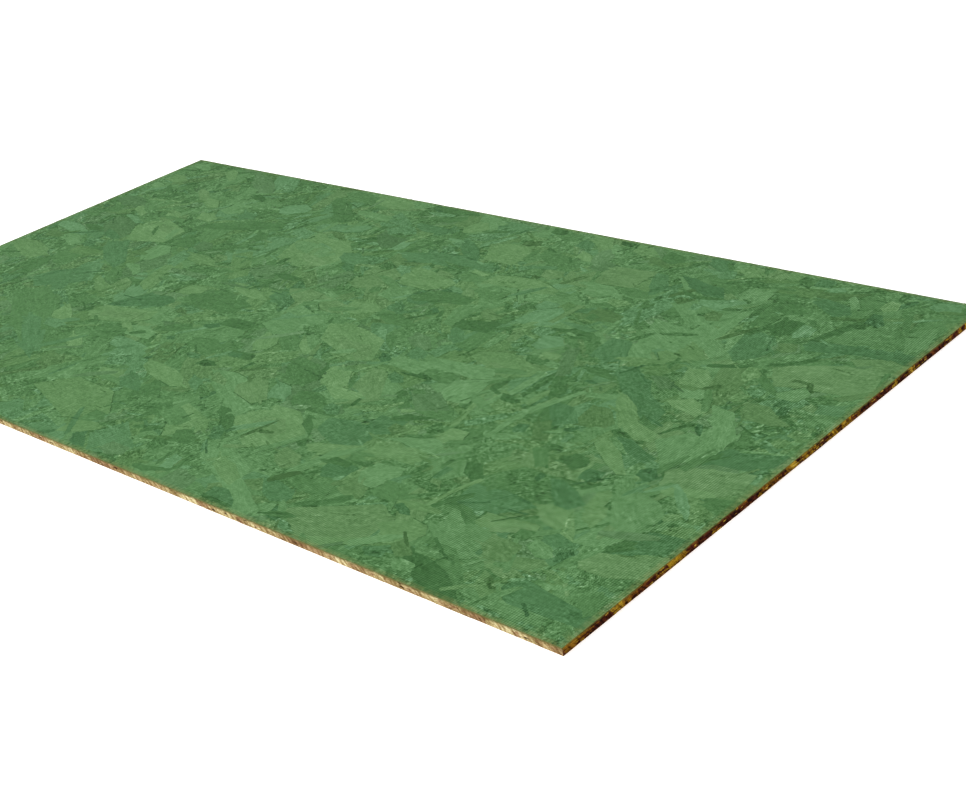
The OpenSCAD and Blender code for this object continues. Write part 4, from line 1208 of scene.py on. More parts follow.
for tone, hue, flat in PLACED:
    pts = [(flat[k] - X0, flat[k + 1] - Y0) for k in range(0, len(flat), 2)]
    mid, angle = grain_of(pts)
    span = np.ptp(np.array(pts), axis=0)
    big = span[0] * span[1] > 2500
    rough = float(np.clip(0.42 - 0.03 * tone, 0.12, 0.4)) if big else float(np.clip(1.0 - 0.07 * tone, 0.3, 0.9))
    under = int(top.ids[min(max(int(mid[1] / top.cy), 0), top.ny - 1), min(max(int(mid[0] / top.cx), 0), top.nx - 1)])
    host = top.strands[under]
    depth = 0.0 if tone >= 8 and big else depth_for(tone) - 0.04
    if under >= placed_from and abs(host["tone"] - tone) <= 1.6 and host["wide"] > 2 * span[0] * span[1]:
        # a stained or worn patch of the strand below, level with it
        tone, depth, angle = host["tone"] + (tone - host["tone"]) * 0.85, host["depth"] + 0.02, host["angle"]
    elif big and tone >= 5 and rng.random() < 0.45:
        # the gap beside a strand that lies proud: a lower copy of its outline, shifted a little to one side and
        # painted dark as a painted shadow in the gap
        a = rng.uniform(0, 2 * math.pi)
        low = torn(pts, angle) + np.array([math.cos(a), math.sin(a)]) * rng.uniform(1.6, 2.8)
        top.strand(low, rng.uniform(0.5, 2.5), "g", rng.uniform(0.5, 0.75), mid, angle, 1.0)
    line = torn(pts, angle, 1.0 if big else 0.6)
    number = top.strand(line, tone + rng.uniform(-0.3, 0.3), hue, depth, mid, angle, rough)
    top.strands[number]["wide"] = span[0] * span[1]
    # its outline is frayed: splinters of it stick out, and its neighbours' lie over it; some darker, lower ones along
    # it are painted shade
    for _ in range(int((span[0] + span[1]) / 95) if big else 0):
        x, y = line[int(rng.integers(len(line)))] + rng.uniform(-4, 4, 2)
        odd = rng.random()
        other = host["tone"] if odd < 0.35 else tone if odd < 0.75 else tone - 3.2
        top.loose(x, y, rng.uniform(12, 52), rng.uniform(3.0, 6.5), angle + rng.normal(0, 0.35), other + rng.uniform(-0.5, 0.5),
                  hue, max(depth - 0.05, 0.01) if odd < 0.75 else depth + 0.2, rough, 0.6)
    # a straight piece lies across the outline of some of them, as their neighbours do
    for _ in range(int(rng.integers(0, 3)) if big and tone >= 5.5 else 0):
        edge_at = line[int(rng.integers(len(line)))]
        out_by = (edge_at - mid) / max(math.hypot(*(edge_at - mid)), 1.0)
        x, y = edge_at + out_by * rng.uniform(0, 8)
        along = rng.normal(0.85, 0.35) if rng.random() < 0.5 else rng.uniform(0, math.pi)
        top.loose(x, y, rng.uniform(45, 110), rng.uniform(9, 22), along, host["tone"] + rng.normal(-0.3, 0.9), one_of("gboyn", (50, 15, 8, 17, 10)),
                  max(depth - 0.06, 0.01), rough, 0.8, 0.75)
for k in range(80):
    x, y = rng.uniform(0, LX), rng.uniform(0, LY)
    under = top.strands[top.ids[min(int(y / top.cy), top.ny - 1), min(int(x / top.cx), top.nx - 1)]]
    dark = rng.random() < (0.85 if under["tone"] < 4.5 else 0.35)
    tone = rng.uniform(0.8, 2.6) if dark else rng.uniform(6.8, 8.2)
    top.loose(x, y, rng.uniform(35, 85), rng.uniform(8, 17), rng.normal(0.8, 0.35), tone, under["hue"], 0.35 if dark else 0.04, 0.8, 0.5, 0.9)
for k in range(220):
    x, y = rng.uniform(0, LX), rng.uniform(0, LY)
    under = top.strands[top.ids[min(int(y / top.cy), top.ny - 1), min(int(x / top.cx), top.nx - 1)]]
    tone = float(np.clip(under["tone"] + rng.choice([-3.8, -3.0, -2.2, 1.8, 2.6]), 0, 9))
    along = under["angle"] + rng.normal(0, 0.25) if rng.random() < 0.6 else rng.normal(0.85, 0.5)
    depth = under["depth"] + (0.12 if tone < under["tone"] else -0.06)
    top.loose(x, y, rng.uniform(16, 80), rng.uniform(2.6, 6.0), along, tone, under["hue"], depth, 0.8, 0.5)

low = Face(LX, LY, 2.54, 2.54)
low.strand([(-9, -9), (LX + 9, -9), (LX + 9, LY + 9), (-9, LY + 9)], 3, "g", 0.5, (0, 0), 0.4, 1.0)
for k in range(330):
    tone = float(np.clip(rng.normal(5.5, 1.7), 0, 9))
    low.loose(rng.uniform(-30, LX + 30), rng.uniform(-30, LY + 30), rng.uniform(110, 260), rng.uniform(32, 90),
              rng.uniform(0, math.pi), tone, "g", rng.choice([0.0, 0.08, 0.16, 0.24, 0.32]) + rng.uniform(0, 0.06))
for k in range(120):
    tone = float(np.clip(rng.normal(4.5, 2.3), 0, 9))
    low.loose(rng.uniform(0, LX), rng.uniform(0, LY), rng.uniform(40, 120), rng.uniform(10, 26),
              rng.uniform(0, math.pi), tone, "g", rng.uniform(0.0, 0.45), 0.9, 0.8)


# ------------------------------------------------------------------ the sawn edges
def blocks(length, choices, long_side):
    """Stretches of lighter and darker wood along an edge: where each ends, and its tone."""
    out, at = [], 0.0
    while at < length:
        at += rng.uniform(9, 44) if long_side else rng.uniform(5, 24)
        low_tone, high_tone = choices[int(rng.integers(len(choices)))]
        out.append((at, rng.uniform(low_tone, high_tone)))
    return np.array(out)


EDGE_LOW, EDGE_HIGH, EDGE_END = 0.9, T - 1.2, 1.2
LIGHT_WOOD = [(0.3, 0.44), (0.46, 0.58), (0.54, 0.68), (0.64, 0.78), (0.78, 0.92), (0.46, 0.62), (0.84, 0.98)]
# the short edges' stretches: darker wood, partly painted shade
DARK_AND_SHADED_WOOD = [(0.06, 0.16), (0.5, 0.68), (0.2, 0.32), (0.44, 0.6), (0.3, 0.44), (0.1, 0.2), (0.56, 0.72), (0.08, 0.18)]


def edge_sheet(length, long_side):
    """An edge's layers, seen from outside: the strands of each layer are cut along or across their grain."""
    field = Sheet(length - 2 * EDGE_END, EDGE_HIGH - EDGE_LOW, 1.6, 0.2)
    wide, high = field.nx * field.cx, field.ny * field.cy
    field.blocks = blocks(length, LIGHT_WOOD if long_side else DARK_AND_SHADED_WOOD, long_side)
    count = len(field.blocks)
    before = -9.0
    for at, tone in field.blocks:
        # each stretch ends at a ragged slant
        lean = rng.uniform(-9, 5)
        jag = [(before + lean * k / 4 + rng.uniform(-2.5, 2.5), high * k / 4 - (k == 0) + (k == 4)) for k in range(4, -1, -1)]
        field.paint([(wide + 9, -1), (wide + 9, high + 1)] + jag,
                    tone=tone, depth=rng.uniform(0.1, 0.3), seed=float(rng.uniform(0, 1000)))
        before = at - EDGE_END
    for k in range(int(wide * high / (92 if long_side else 66))):
        s, z = rng.uniform(-20, wide + 20), rng.uniform(0, high)
        outer = abs(z / high - 0.5) > 0.24
        along = outer == long_side
        length_k, thick = (rng.uniform(18, 60), rng.uniform(1.2, 2.8)) if along else (rng.uniform(7, 24), rng.uniform(1.8, 4.4))
        here = field.blocks[min(int(np.searchsorted(field.blocks[:, 0], s + rng.uniform(-8, 8))), count - 1), 1]
        tone = here + rng.normal(0, 0.11)
        depth = rng.uniform(0.03, 0.34)
        odd = rng.random()
        if odd < (0.13 if long_side else 0.3):
            # dark marks: gaps between strands, lowered, whose near-black is painted shade, and also darker strands'
            # ends
            tone, length_k, depth = rng.uniform(0.0, 0.3) if long_side else rng.uniform(0.0, 0.12), rng.uniform(5, 16), rng.uniform(0.4, 0.9)
            thick = thick if long_side else rng.uniform(3.0, 9.0)
        elif odd < (0.3 if long_side else 0.5):
            tone, length_k = rng.uniform(0.8, 1.0) if long_side else rng.uniform(0.6, 0.9), rng.uniform(5, 14)
        u = np.linspace(-0.5, 0.5, 4)
        body = thick / 2 * (1 - 0.6 * (2 * np.abs(u)) ** 3)
        curve = z + u * length_k * rng.normal(0, 0.012 if along else 0.06) + rng.uniform(-0.2, 0.2, 4)
        outline = np.concatenate([np.stack([s + u * length_k, curve + body], 1), np.stack([s + u * length_k, curve - body], 1)[::-1]])
        field.paint(outline, tone=float(np.clip(tone, 0, 1)), depth=depth, seed=float(rng.uniform(0, 1000)))
    return field


def tone_along(field, s):
    """The wood's tone along an edge, with short passages between its stretches."""
    ends, tones = field.blocks[:, 0], field.blocks[:, 1]
    knots = np.stack([ends[:-1] - 4, ends[:-1] + 4], 1).ravel()
    values = np.stack([tones[:-1], tones[1:]], 1).ravel()
    return np.interp(s, knots, values)


# ------------------------------------------------------------------ the mesh
BX, BY, BZ = (round(v / UNIT) for v in (LX, LY, T))
parts = []  # corners in UNITs, grain, tint, kind, material, map place


def broad_face(sheet, tol):
    sheet.ids = tidy(sheet.ids, 3)
    net = Net()
    net.chains(sheet, tol)
    at, tri, area, comp, side = net.triangles()

    def look(x, y):
        col = np.clip((x / sheet.cx).astype(int), 0, sheet.nx - 1)
        row = np.clip((y / sheet.cy).astype(int), 0, sheet.ny - 1)
        return sheet.ids[row, col]

    label = region_labels(at, tri, area, comp, look)
    return Relief(at, tri, comp, side, label, settle(comp, side, area, heights_for(label, sheet.strands)))


def corner_data(sheet, label, xy):
    """The grain coordinates of corners, in mm: along, across, and the strand's own number."""
    ang = np.array([s["angle"] for s in sheet.strands])[label]
    mid = np.array([s["mid"] for s in sheet.strands])[label]
    seed = np.array([s["seed"] for s in sheet.strands])[label]
    d = xy * UNIT - mid[:, None, :]
    c, s = np.cos(ang)[:, None], np.sin(ang)[:, None]
    return np.stack([d[:, :, 0] * c + d[:, :, 1] * s, d[:, :, 1] * c - d[:, :, 0] * s, np.repeat(seed[:, None], 3, 1)], 2)


def add(faces, place, grain, tint, kind, material, uv):
    parts.append((place(faces), grain, tint, np.repeat(np.asarray(kind, float)[:, None], 3, 1),
                  np.full(len(faces), material), uv))


relief_top = broad_face(top, 1.05)
relief_low = broad_face(low, 1.05)
print("faces: top", len(relief_top.faces), len(relief_top.walls), "underside", len(relief_low.faces), len(relief_low.walls))

MAP = 1024.0


def map_box(x0, x1, y0, y1, wide, high):
    """Takes places in mm to a box of the map, in its pixels."""
    def f(xy):
        return np.stack([(x0 + xy[..., 0] / wide * (x1 - x0)) / MAP, (y0 + xy[..., 1] / high * (y1 - y0)) / MAP], -1)
    return f


for relief, sheet, place, colours, material, box in (
    (relief_top, top, lambda f: np.stack([f[..., 0], f[..., 1], BZ + f[..., 2]], -1), lambda s: stained(s["tone"], s["hue"]), 0,
     map_box(2, 1022, 404, 1021, LX, LY)),
    (relief_low, low, lambda f: np.stack([f[..., 0], BY - f[..., 1], -f[..., 2]], -1), lambda s: linear(ramp(s["tone"] / 9, BARE)), 1,
     map_box(2, 1022, 110, 398, LX, LY)),
):
    tints = np.array([colours(s) for s in sheet.strands])
    for faces, label, shift, wall in ((relief.faces, relief.tri_label, 0.0, 0.0), (relief.walls, relief.wall_label, relief.shift, 1.0)):
        xy = faces[:, :, :2].astype(float)
        grain = corner_data(sheet, label, xy)
        # the walls between strands are painted darker than the strands above them: painted shade in the steps
        tint = np.repeat(tints[label][:, None, :], 3, 1) * (0.85 if wall else 1.0)
        rough = np.array([s["rough"] for s in sheet.strands])[label]
        add(faces, place, grain, tint, rough, material, box(xy * UNIT + shift * 0.6))


def floor_of(profile, s):
    """The height of a stepped line above each place along it, in mm."""
    p = np.array(profile, float) * UNIT
    flat = p[1:, 0] > p[:-1, 0]
    return p[:-1, 1][flat][np.clip(np.searchsorted(p[1:, 0][flat], s), 0, flat.sum() - 1)]


def edge(length, long_side, along_top, along_low, corners, place, box):
    """One sawn edge, from the underside's rim to the upper face's."""
    field = edge_sheet(length * UNIT, long_side)
    field.ids = tidy(field.ids, 2)
    net = Net()
    # the outline: along the underside's rim, up the corner, back along the upper rim, down the other corner
    start, end = corners
    bottom = [(s, -h) for s, h in along_low]
    upper = [(s, BZ + h) for s, h in along_top]
    rise = [(length, z) for z in sorted(end) if bottom[-1][1] < z < upper[-1][1]]
    fall = [(0, z) for z in sorted(start, reverse=True) if bottom[0][1] < z < upper[0][1]]
    loop = bottom + rise + upper[::-1] + fall
    net.line(loop + loop[:1])
    net.chains(field, 1.0, EDGE_END, EDGE_LOW)
    # what lies between the outline's notches is outside
    at, tri, area, comp, side = net.triangles(lambda s, z: (z > floor_of(bottom, s)) & (z < floor_of(upper, s)))
    number = len(field.strands)

    def look(s, z):
        col = np.floor((s - EDGE_END) / field.cx).astype(int)
        row = np.floor((z - EDGE_LOW) / field.cy).astype(int)
        inside = (col >= 0) & (col < field.nx) & (row >= 0) & (row < field.ny)
        return np.where(inside, field.ids[np.clip(row, 0, field.ny - 1), np.clip(col, 0, field.nx - 1)], number)

    field.strands.append(dict(tone=0.42, depth=0.0, seed=500.0))
    label = region_labels(at, tri, area, comp, look)
    relief = Relief(at, tri, comp, side, label, settle(comp, side, area, heights_for(label, field.strands)))
    print("edge", len(relief.faces), len(relief.walls))
    wood = SAWN_LONG if long_side else SAWN_SHORT
    tints = np.array([linear(ramp(s["tone"], wood)) for s in field.strands])
    sawn = np.array([linear(ramp(k / 200, wood)) for k in range(201)])
    seeds = np.array([s["seed"] for s in field.strands])
    for faces, label, shift, wall in ((relief.faces, relief.tri_label, 0.0, 0.0), (relief.walls, relief.wall_label, relief.shift, 1.0)):
        xy = faces[:, :, :2].astype(float) * UNIT
        grain = np.concatenate([xy, np.repeat(seeds[label][:, None, None], 3, 1)], 2)
        tint = np.repeat(tints[label][:, None, :], 3, 1)
        rim = label == number
        tint[rim] = sawn[np.round(tone_along(field, xy[rim][:, :, 0]) * 200).astype(int)]
        # the walls between edge strands are painted darker: painted shade in the steps
        add(faces, place, grain, tint * (0.75 if wall else 1.0), np.full(len(faces), 0.0 if long_side else 1.0), 2, box(xy + shift * 0.12))


def both(x, y):
    """Every height at a corner of the board, from its two faces."""
    return [BZ + h for h in relief_top.at_corner(x, y)] + [-h for h in relief_low.at_corner(x, BY - y)]


def flipped(profile, length):
    return [(length - s, h) for s, h in profile[::-1]]


edge(BX, True, relief_top.profile(1, 0), relief_low.profile(1, BY), (both(0, 0), both(BX, 0)),
     lambda f: np.stack([f[..., 0], -f[..., 2], f[..., 1]], -1), map_box(2, 1022, 2, 34, LX, T))
edge(BY, False, relief_top.profile(0, BX), flipped(relief_low.profile(0, BX), BY), (both(BX, 0), both(BX, BY)),
     lambda f: np.stack([BX + f[..., 2], f[..., 0], f[..., 1]], -1), map_box(2, 510, 74, 106, LY, T))
edge(BX, True, flipped(relief_top.profile(1, BY), BX), flipped(relief_low.profile(1, 0), BX), (both(BX, BY), both(0, BY)),
     lambda f: np.stack([BX - f[..., 0], BY + f[..., 2], f[..., 1]], -1), map_box(2, 1022, 38, 70, LX, T))
edge(BY, False, flipped(relief_top.profile(0, 0), BY), relief_low.profile(0, 0), (both(0, BY), both(0, 0)),
     lambda f: np.stack([-f[..., 2], BY - f[..., 0], f[..., 1]], -1), map_box(514, 1022, 74, 106, LY, T))

corners = np.concatenate([p[0] for p in parts]).reshape(-1, 3)
key = (corners[:, 0] * 200_000 + corners[:, 1]) * 4_000 + corners[:, 2]
_, first, vertex = np.unique(key, return_index=True, return_inverse=True)
tri = vertex.reshape(-1, 3)
good = (tri[:, 0] != tri[:, 1]) & (tri[:, 1] != tri[:, 2]) & (tri[:, 2] != tri[:, 0])
tri = tri[good]
grain, tint, kind, material, uv = (np.concatenate([p[k] for p in parts])[good] for k in range(1, 6))
co = corners[first] * (UNIT / 1000) + np.array(lo)

mesh = bpy.data.meshes.new("osb_board_strands")
mesh.vertices.add(len(co))
mesh.vertices.foreach_set("co", co.astype(np.float32).ravel())
mesh.loops.add(len(tri) * 3)
mesh.loops.foreach_set("vertex_index", tri.astype(np.int32).ravel())
mesh.polygons.add(len(tri))
mesh.polygons.foreach_set("loop_start", np.arange(0, len(tri) * 3, 3, dtype=np.int32))
mesh.polygons.foreach_set("material_index", material.astype(np.int32))
mesh.polygons.foreach_set("use_smooth", np.zeros(len(tri), bool))
mesh.update(calc_edges=True)
mesh.uv_layers.new(name="OFBake").uv.foreach_set("vector", uv.astype(np.float32).ravel())
mesh.attributes.new("grain", "FLOAT_VECTOR", "CORNER").data.foreach_set("vector", grain.astype(np.float32).ravel())
mesh.attributes.new("tint", "FLOAT_COLOR", "CORNER").data.foreach_set(
    "color", np.concatenate([tint.reshape(-1, 3), np.ones((len(tri) * 3, 1))], 1).astype(np.float32).ravel())
mesh.attributes.new("kind", "FLOAT", "CORNER").data.foreach_set("value", kind.astype(np.float32).ravel())
board = bpy.data.objects.new("osb_board_strands", mesh)
bpy.context.scene.collection.objects.link(board)
print("board:", len(co), "points,", len(tri), "triangles")


# ------------------------------------------------------------------ materials
class Tree:
    """A short way to write a material's nodes."""

    def __init__(self, name):
        self.material = bpy.data.materials.new(name)
        self.material.use_nodes = True
        self.nodes, self.links = self.material.node_tree.nodes, self.material.node_tree.links
        self.nodes.clear()
        self.out = self.node("ShaderNodeOutputMaterial")
        self.shader = self.node("ShaderNodeBsdfPrincipled")
        self.links.new(self.shader.outputs[0], self.out.inputs[0])

    def node(self, kind, **settings):
        n = self.nodes.new(kind)
        for k, v in settings.items():
            setattr(n, k, v)
        return n

    def put(self, socket, value):
        if isinstance(value, bpy.types.NodeSocket):
            self.links.new(value, socket)
        else:
            socket.default_value = value

    def maths(self, operation, a, b=0.0, clamp=False):
        n = self.node("ShaderNodeMath", operation=operation, use_clamp=clamp)
        self.put(n.inputs[0], a)
        self.put(n.inputs[1], b)
        return n.outputs[0]

    def scaled(self, vector, scale):
        n = self.node("ShaderNodeVectorMath", operation="MULTIPLY")
        self.put(n.inputs[0], vector)
        n.inputs[1].default_value = scale
        return n.outputs[0]

    def noise(self, vector, scale, detail=3.0, rough=0.55):
        n = self.node("ShaderNodeTexNoise")
        self.put(n.inputs["Vector"], vector)
        n.inputs["Scale"].default_value = scale
        n.inputs["Detail"].default_value = detail
        n.inputs["Roughness"].default_value = rough
        return n.outputs["Fac"]

    def spread(self, value, a, b, c, d):
        """Takes a to c and b to d, and holds the ends."""
        n = self.node("ShaderNodeMapRange", clamp=True)
        for k, v in enumerate((value, a, b, c, d)):
            self.put(n.inputs[k], v)
        return n.outputs[0]

    def mix(self, blend, amount, a, b):
        n = self.node("ShaderNodeMix", data_type="RGBA", blend_type=blend, clamp_result=False)
        self.put(n.inputs[0], amount)
        self.put(n.inputs[6], a)
        self.put(n.inputs[7], b)
        return n.outputs[2]

    def shade(self, colour, factor):
        """A colour times a number."""
        n = self.node("ShaderNodeVectorMath", operation="SCALE")
        self.put(n.inputs[0], colour)
        self.put(n.inputs[3], factor)
        return n.outputs[0]

    def veil(self, colour, factor, red=1.45, blue=1.55):
        """A stained colour made lighter or darker: its green holds while the wood's red and blue come and go."""
        n = self.node("ShaderNodeCombineXYZ")
        self.put(n.inputs[0], self.maths("POWER", factor, red))
        self.put(n.inputs[1], factor)
        self.put(n.inputs[2], self.maths("POWER", factor, blue))
        m = self.node("ShaderNodeVectorMath", operation="MULTIPLY")
        self.put(m.inputs[0], colour)
        self.put(m.inputs[1], n.outputs[0])
        return m.outputs[0]

    def bump(self, height, distance, strength=1.0, normal=None):
        n = self.node("ShaderNodeBump")
        n.inputs["Strength"].default_value = strength
        n.inputs["Distance"].default_value = distance
        self.put(n.inputs["Height"], height)
        if normal is not None:
            self.put(n.inputs["Normal"], normal)
        return n.outputs["Normal"]

    def attribute(self, name):
        return self.node("ShaderNodeAttribute", attribute_name=name, attribute_type="GEOMETRY")


def stained_face():
    t = Tree("stained_face")
    grain = t.attribute("grain").outputs["Vector"]
    tint = t.attribute("tint").outputs["Color"]
    broken = t.attribute("kind").outputs["Fac"]
    place = t.node("ShaderNodeTexCoord").outputs["Object"]
    # the grain wanders a little
    drift = t.node("ShaderNodeTexNoise")
    t.put(drift.inputs["Vector"], place)
    drift.inputs["Scale"].default_value = 42.0
    drift.inputs["Detail"].default_value = 4.0
    wander = t.node("ShaderNodeVectorMath", operation="MULTIPLY_ADD")
    t.put(wander.inputs[0], drift.outputs["Color"])
    wander.inputs[1].default_value = (18.0, 18.0, 0.0)
    t.put(wander.inputs[2], grain)
    curly = wander.outputs[0]
    # fibres: long along the grain, fine across it
    fibre = t.noise(t.scaled(curly, (0.02, 0.42, 0.37)), 1.0, 4.0, 0.65)
    broad = t.noise(t.scaled(curly, (0.006, 0.06, 0.37)), 1.0, 2.0)
    mottle = t.noise(place, 62.0, 5.0, 0.62)
    cloud = t.noise(place, 9.0, 3.0, 0.55)
    crumple = t.noise(place, 150.0, 5.0, 0.68)
    # broken places, mostly where the strands are short: dark crevices, whose darkness is painted shade, dark blots,
    # and pale loose fibres
    torn = t.noise(t.scaled(curly, (0.042, 0.17, 0.37)), 1.0, 5.0, 0.66)
    parts_xyz = t.node("ShaderNodeSeparateXYZ")
    t.put(parts_xyz.inputs[0], place)
    ends = t.spread(t.maths("ABSOLUTE", parts_xyz.outputs[0]), 0.6, 1.15, 1.0, 1.3)
    patch = t.maths("MULTIPLY", t.maths("MULTIPLY", t.spread(t.noise(place, 13.0, 3.0), 0.38, 0.52, 0.22, 1.0), broken), ends)
    crease = t.spread(t.maths("ABSOLUTE", t.maths("SUBTRACT", torn, 0.5)), 0.0, 0.055, 1.0, 0.0)
    blot = t.spread(torn, 0.55, 0.66, 0.0, 1.0)
    gate = t.spread(t.noise(place, 75.0, 2.0), 0.44, 0.54, 0.0, 1.0)
    dark = t.maths("MULTIPLY", t.maths("MAXIMUM", t.maths("MULTIPLY", crease, gate), blot), patch)
    light = t.maths("MULTIPLY", t.spread(torn, 0.45, 0.34, 0.0, 1.0), patch)
    pores = t.noise(t.scaled(curly, (0.045, 1.1, 0.37)), 1.0, 3.0, 0.7)
    v = t.maths("MULTIPLY", t.spread(fibre, 0.3, 0.7, 0.86, 1.14), t.spread(broad, 0.3, 0.7, 0.94, 1.06))
    v = t.maths("MULTIPLY", v, t.spread(pores, 0.3, 0.7, 0.9, 1.1))
    v = t.maths("MULTIPLY", v, t.spread(mottle, 0.3, 0.7, 0.89, 1.11))
    v = t.maths("MULTIPLY", v, t.spread(cloud, 0.3, 0.7, 0.96, 1.04))
    v = t.maths("MULTIPLY", v, t.spread(dark, 0.0, 1.0, 1.0, 0.46))
    v = t.maths("MULTIPLY", v, t.spread(light, 0.0, 1.0, 1.0, 1.27))
    fine = t.maths("MULTIPLY", t.maths("SUBTRACT", crumple, 0.5), t.spread(patch, 0.0, 0.8, 0.56, 3.2))
    v = t.maths("MULTIPLY", v, t.maths("ADD", fine, 1.0))
    # the press screen's print: fine ribs across the sheet, crossed in places, and worn away in others
    turn = 2 * math.pi / 0.0047
    wave_x = t.maths("SINE", t.maths("MULTIPLY", parts_xyz.outputs[0], turn))
    wave_y = t.maths("MULTIPLY", t.maths("SINE", t.maths("MULTIPLY", parts_xyz.outputs[1], turn)), 0.6)
    screen = t.maths("MULTIPLY", t.maths("ADD", wave_x, wave_y), t.spread(t.noise(place, 6.0, 4.0), 0.42, 0.6, 0.12, 1.0))
    screen = t.maths("MULTIPLY", screen, t.spread(parts_xyz.outputs[0], 0.2, 1.0, 0.95, 1.6))
    v = t.maths("MULTIPLY", v, t.maths("ADD", t.maths("MULTIPLY", screen, 0.16), 1.0))
    # the stain is thinner beside the sawn rims, and the wood's warmth shows through it unevenly
    rims = t.maths("MAXIMUM", t.spread(t.maths("ABSOLUTE", parts_xyz.outputs[0]), float(hi.x) - 0.015, float(hi.x), 0.0, 1.0),
                   t.spread(t.maths("ABSOLUTE", parts_xyz.outputs[1]), float(hi.y) - 0.011, float(hi.y), 0.0, 1.0))
    worn = t.maths("MULTIPLY", rims, t.spread(crumple, 0.34, 0.66, 0.02, 0.54))
    t.put(t.shader.inputs["Base Color"], t.mix("MIX", worn, t.veil(tint, v), (0.205, 0.19, 0.056, 1.0)))
    t.put(t.shader.inputs["Roughness"], t.spread(mottle, 0.3, 0.7, 0.7, 0.9))
    t.shader.inputs["Specular IOR Level"].default_value = 0.15
    n = t.bump(screen, 0.00012, 0.6)
    n = t.bump(fibre, 0.0007, 0.4, n)
    n = t.bump(torn, 0.002, 0.3, n)
    n = t.bump(crumple, 0.0012, 0.4, n)
    t.put(t.shader.inputs["Normal"], n)
    return t.material


def bare_face():
    t = Tree("bare_face")
    grain = t.attribute("grain").outputs["Vector"]
    tint = t.attribute("tint").outputs["Color"]
    place = t.node("ShaderNodeTexCoord").outputs["Object"]
    fibre = t.noise(t.scaled(grain, (0.02, 0.5, 0.37)), 1.0, 4.0, 0.65)
    pores = t.noise(t.scaled(grain, (0.05, 1.1, 0.37)), 1.0, 2.0, 0.7)
    mottle = t.noise(place, 40.0, 4.0, 0.6)
    crumple = t.noise(place, 160.0, 4.0, 0.62)
    v = t.maths("MULTIPLY", t.spread(fibre, 0.3, 0.7, 0.78, 1.14), t.spread(mottle, 0.3, 0.7, 0.88, 1.1))
    v = t.maths("MULTIPLY", v, t.spread(pores, 0.25, 0.42, 0.72, 1.0))
    t.put(t.shader.inputs["Base Color"], t.shade(tint, v))
    t.put(t.shader.inputs["Roughness"], t.spread(mottle, 0.3, 0.7, 0.6, 0.82))
    t.shader.inputs["Specular IOR Level"].default_value = 0.3
    n = t.bump(fibre, 0.0008, 0.5)
    n = t.bump(crumple, 0.0012, 0.5, n)
    t.put(t.shader.inputs["Normal"], n)
    return t.material


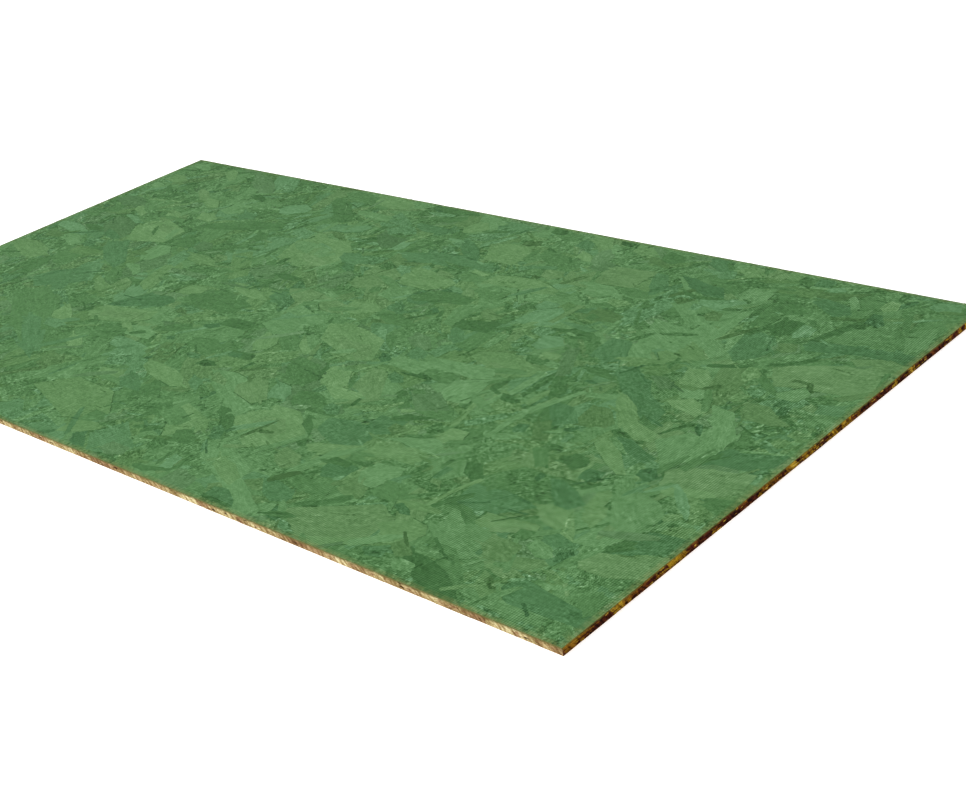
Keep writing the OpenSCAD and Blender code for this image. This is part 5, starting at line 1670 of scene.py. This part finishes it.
def sawn_edge():
    t = Tree("sawn_edge")
    grain = t.attribute("grain").outputs["Vector"]
    tint = t.attribute("tint").outputs["Color"]
    place = t.node("ShaderNodeTexCoord").outputs["Object"]
    xyz = t.node("ShaderNodeSeparateXYZ")
    t.put(xyz.inputs[0], place)
    layers = t.noise(t.scaled(grain, (0.05, 1.3, 0.37)), 1.0, 3.0, 0.6)
    fine = t.noise(t.scaled(grain, (0.5, 1.6, 0.37)), 1.0, 3.0, 0.7)
    specks = t.noise(t.scaled(grain, (0.16, 0.4, 0.11)), 1.0, 4.0, 0.66)
    saw = t.noise(t.scaled(grain, (0.9, 0.06, 0.0)), 1.0, 2.0)
    short = t.attribute("kind").outputs["Fac"]
    # the cut runs through upright fibre ends: fine leaning streaks, darker and redder or paler
    split = t.node("ShaderNodeSeparateXYZ")
    t.put(split.inputs[0], grain)
    joined = t.node("ShaderNodeCombineXYZ")
    t.put(joined.inputs[0], t.maths("ADD", t.maths("MULTIPLY", split.outputs[0], 0.14), t.maths("MULTIPLY", split.outputs[1], 0.1)))
    t.put(joined.inputs[1], t.maths("MULTIPLY", split.outputs[1], 0.05))
    t.put(joined.inputs[2], t.maths("MULTIPLY", short, 40.0))
    streak = t.spread(t.noise(joined.outputs[0], 1.0, 3.0, 0.6), 0.41, 0.59, -1.0, 1.0)
    v = t.maths("MULTIPLY", t.spread(layers, 0.3, 0.7, 0.82, 1.14), t.spread(fine, 0.3, 0.7, 0.84, 1.14))
    v = t.maths("MULTIPLY", v, t.spread(specks, 0.54, 0.61, 1.0, 0.42))
    v = t.maths("MULTIPLY", v, t.spread(specks, 0.44, 0.34, 1.0, 1.2))
    v = t.maths("MULTIPLY", v, t.maths("ADD", t.maths("MULTIPLY", streak, t.spread(short, 0.0, 1.0, 0.5, 0.7)), 1.02))
    wood = t.veil(tint, v, 0.8, 1.3)
    # stain has soaked into the last few millimetres of wood under the green face, unevenly
    height = t.maths("ADD", xyz.outputs[2], t.spread(specks, 0.3, 0.7, -0.0016, 0.0016))
    soak = t.maths("MULTIPLY", t.spread(t.noise(place, 34.0, 2.0), 0.38, 0.62, 0.4, 1.0), 0.0026)
    height = t.maths("SUBTRACT", height, t.maths("MULTIPLY", short, soak))
    rim = t.spread(height, float(hi.z) - 0.0062, float(hi.z) - 0.0016, 0.0, 1.0)
    soaked = t.mix("MIX", short, (0.096, 0.094, 0.028, 1.0), (0.106, 0.106, 0.022, 1.0))
    t.put(t.shader.inputs["Base Color"], t.mix("MIX", rim, wood, soaked))
    t.put(t.shader.inputs["Roughness"], t.spread(fine, 0.3, 0.7, 0.75, 0.95))
    t.shader.inputs["Specular IOR Level"].default_value = 0.04
    n = t.bump(layers, 0.0006, 0.6)
    n = t.bump(saw, 0.0003, 0.5, n)
    t.put(t.shader.inputs["Normal"], n)
    return t.material


for make in (stained_face, bare_face, sawn_edge):
    mesh.materials.append(make())
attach(board, "root")
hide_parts(NODE)

# ------------------------------------------------------------------ floor, world and lights
floor_mesh = bpy.data.meshes.new("floor")
r = 60.0
floor_mesh.from_pydata([(-r, -r, 0), (r, -r, 0), (r, r, 0), (-r, r, 0)], [], [(0, 1, 2, 3)])
floor = bpy.data.objects.new("floor", floor_mesh)
floor.location.z = lo.z - 0.0004
bpy.context.scene.collection.objects.link(floor)
paper = Tree("paper")
paper.shader.inputs["Base Color"].default_value = (0.93, 0.93, 0.93, 1)
paper.shader.inputs["Roughness"].default_value = 0.9
paper.shader.inputs["Specular IOR Level"].default_value = 0.1
paper.shader.inputs["Emission Color"].default_value = (1, 1, 1, 1)
paper.shader.inputs["Emission Strength"].default_value = 0.5
floor_mesh.materials.append(paper.material)

world = bpy.data.worlds.new("studio")
world.use_nodes = True
world.node_tree.nodes["Background"].inputs[0].default_value = (1, 1, 1, 1)
world.node_tree.nodes["Background"].inputs[1].default_value = 0.82
bpy.context.scene.world = world


def lamp(name, place, aim, size, watts, colour=(1, 1, 1)):
    data = bpy.data.lights.new(name, "AREA")
    data.shape, data.size, data.energy, data.color = "DISK", size, watts, colour
    o = bpy.data.objects.new(name, data)
    o.location = place
    o.rotation_euler = (Vector(aim) - Vector(place)).to_track_quat("-Z", "Y").to_euler()
    bpy.context.scene.collection.objects.link(o)
    return o


lamp("key", (-7.7, -13.2, 12.1), (0, 0, 0), 6.6, 3150)

bpy.context.scene.view_settings.view_transform = "Standard"
bpy.context.scene.view_settings.look = "None"
bpy.context.scene.view_settings.exposure = 0.0
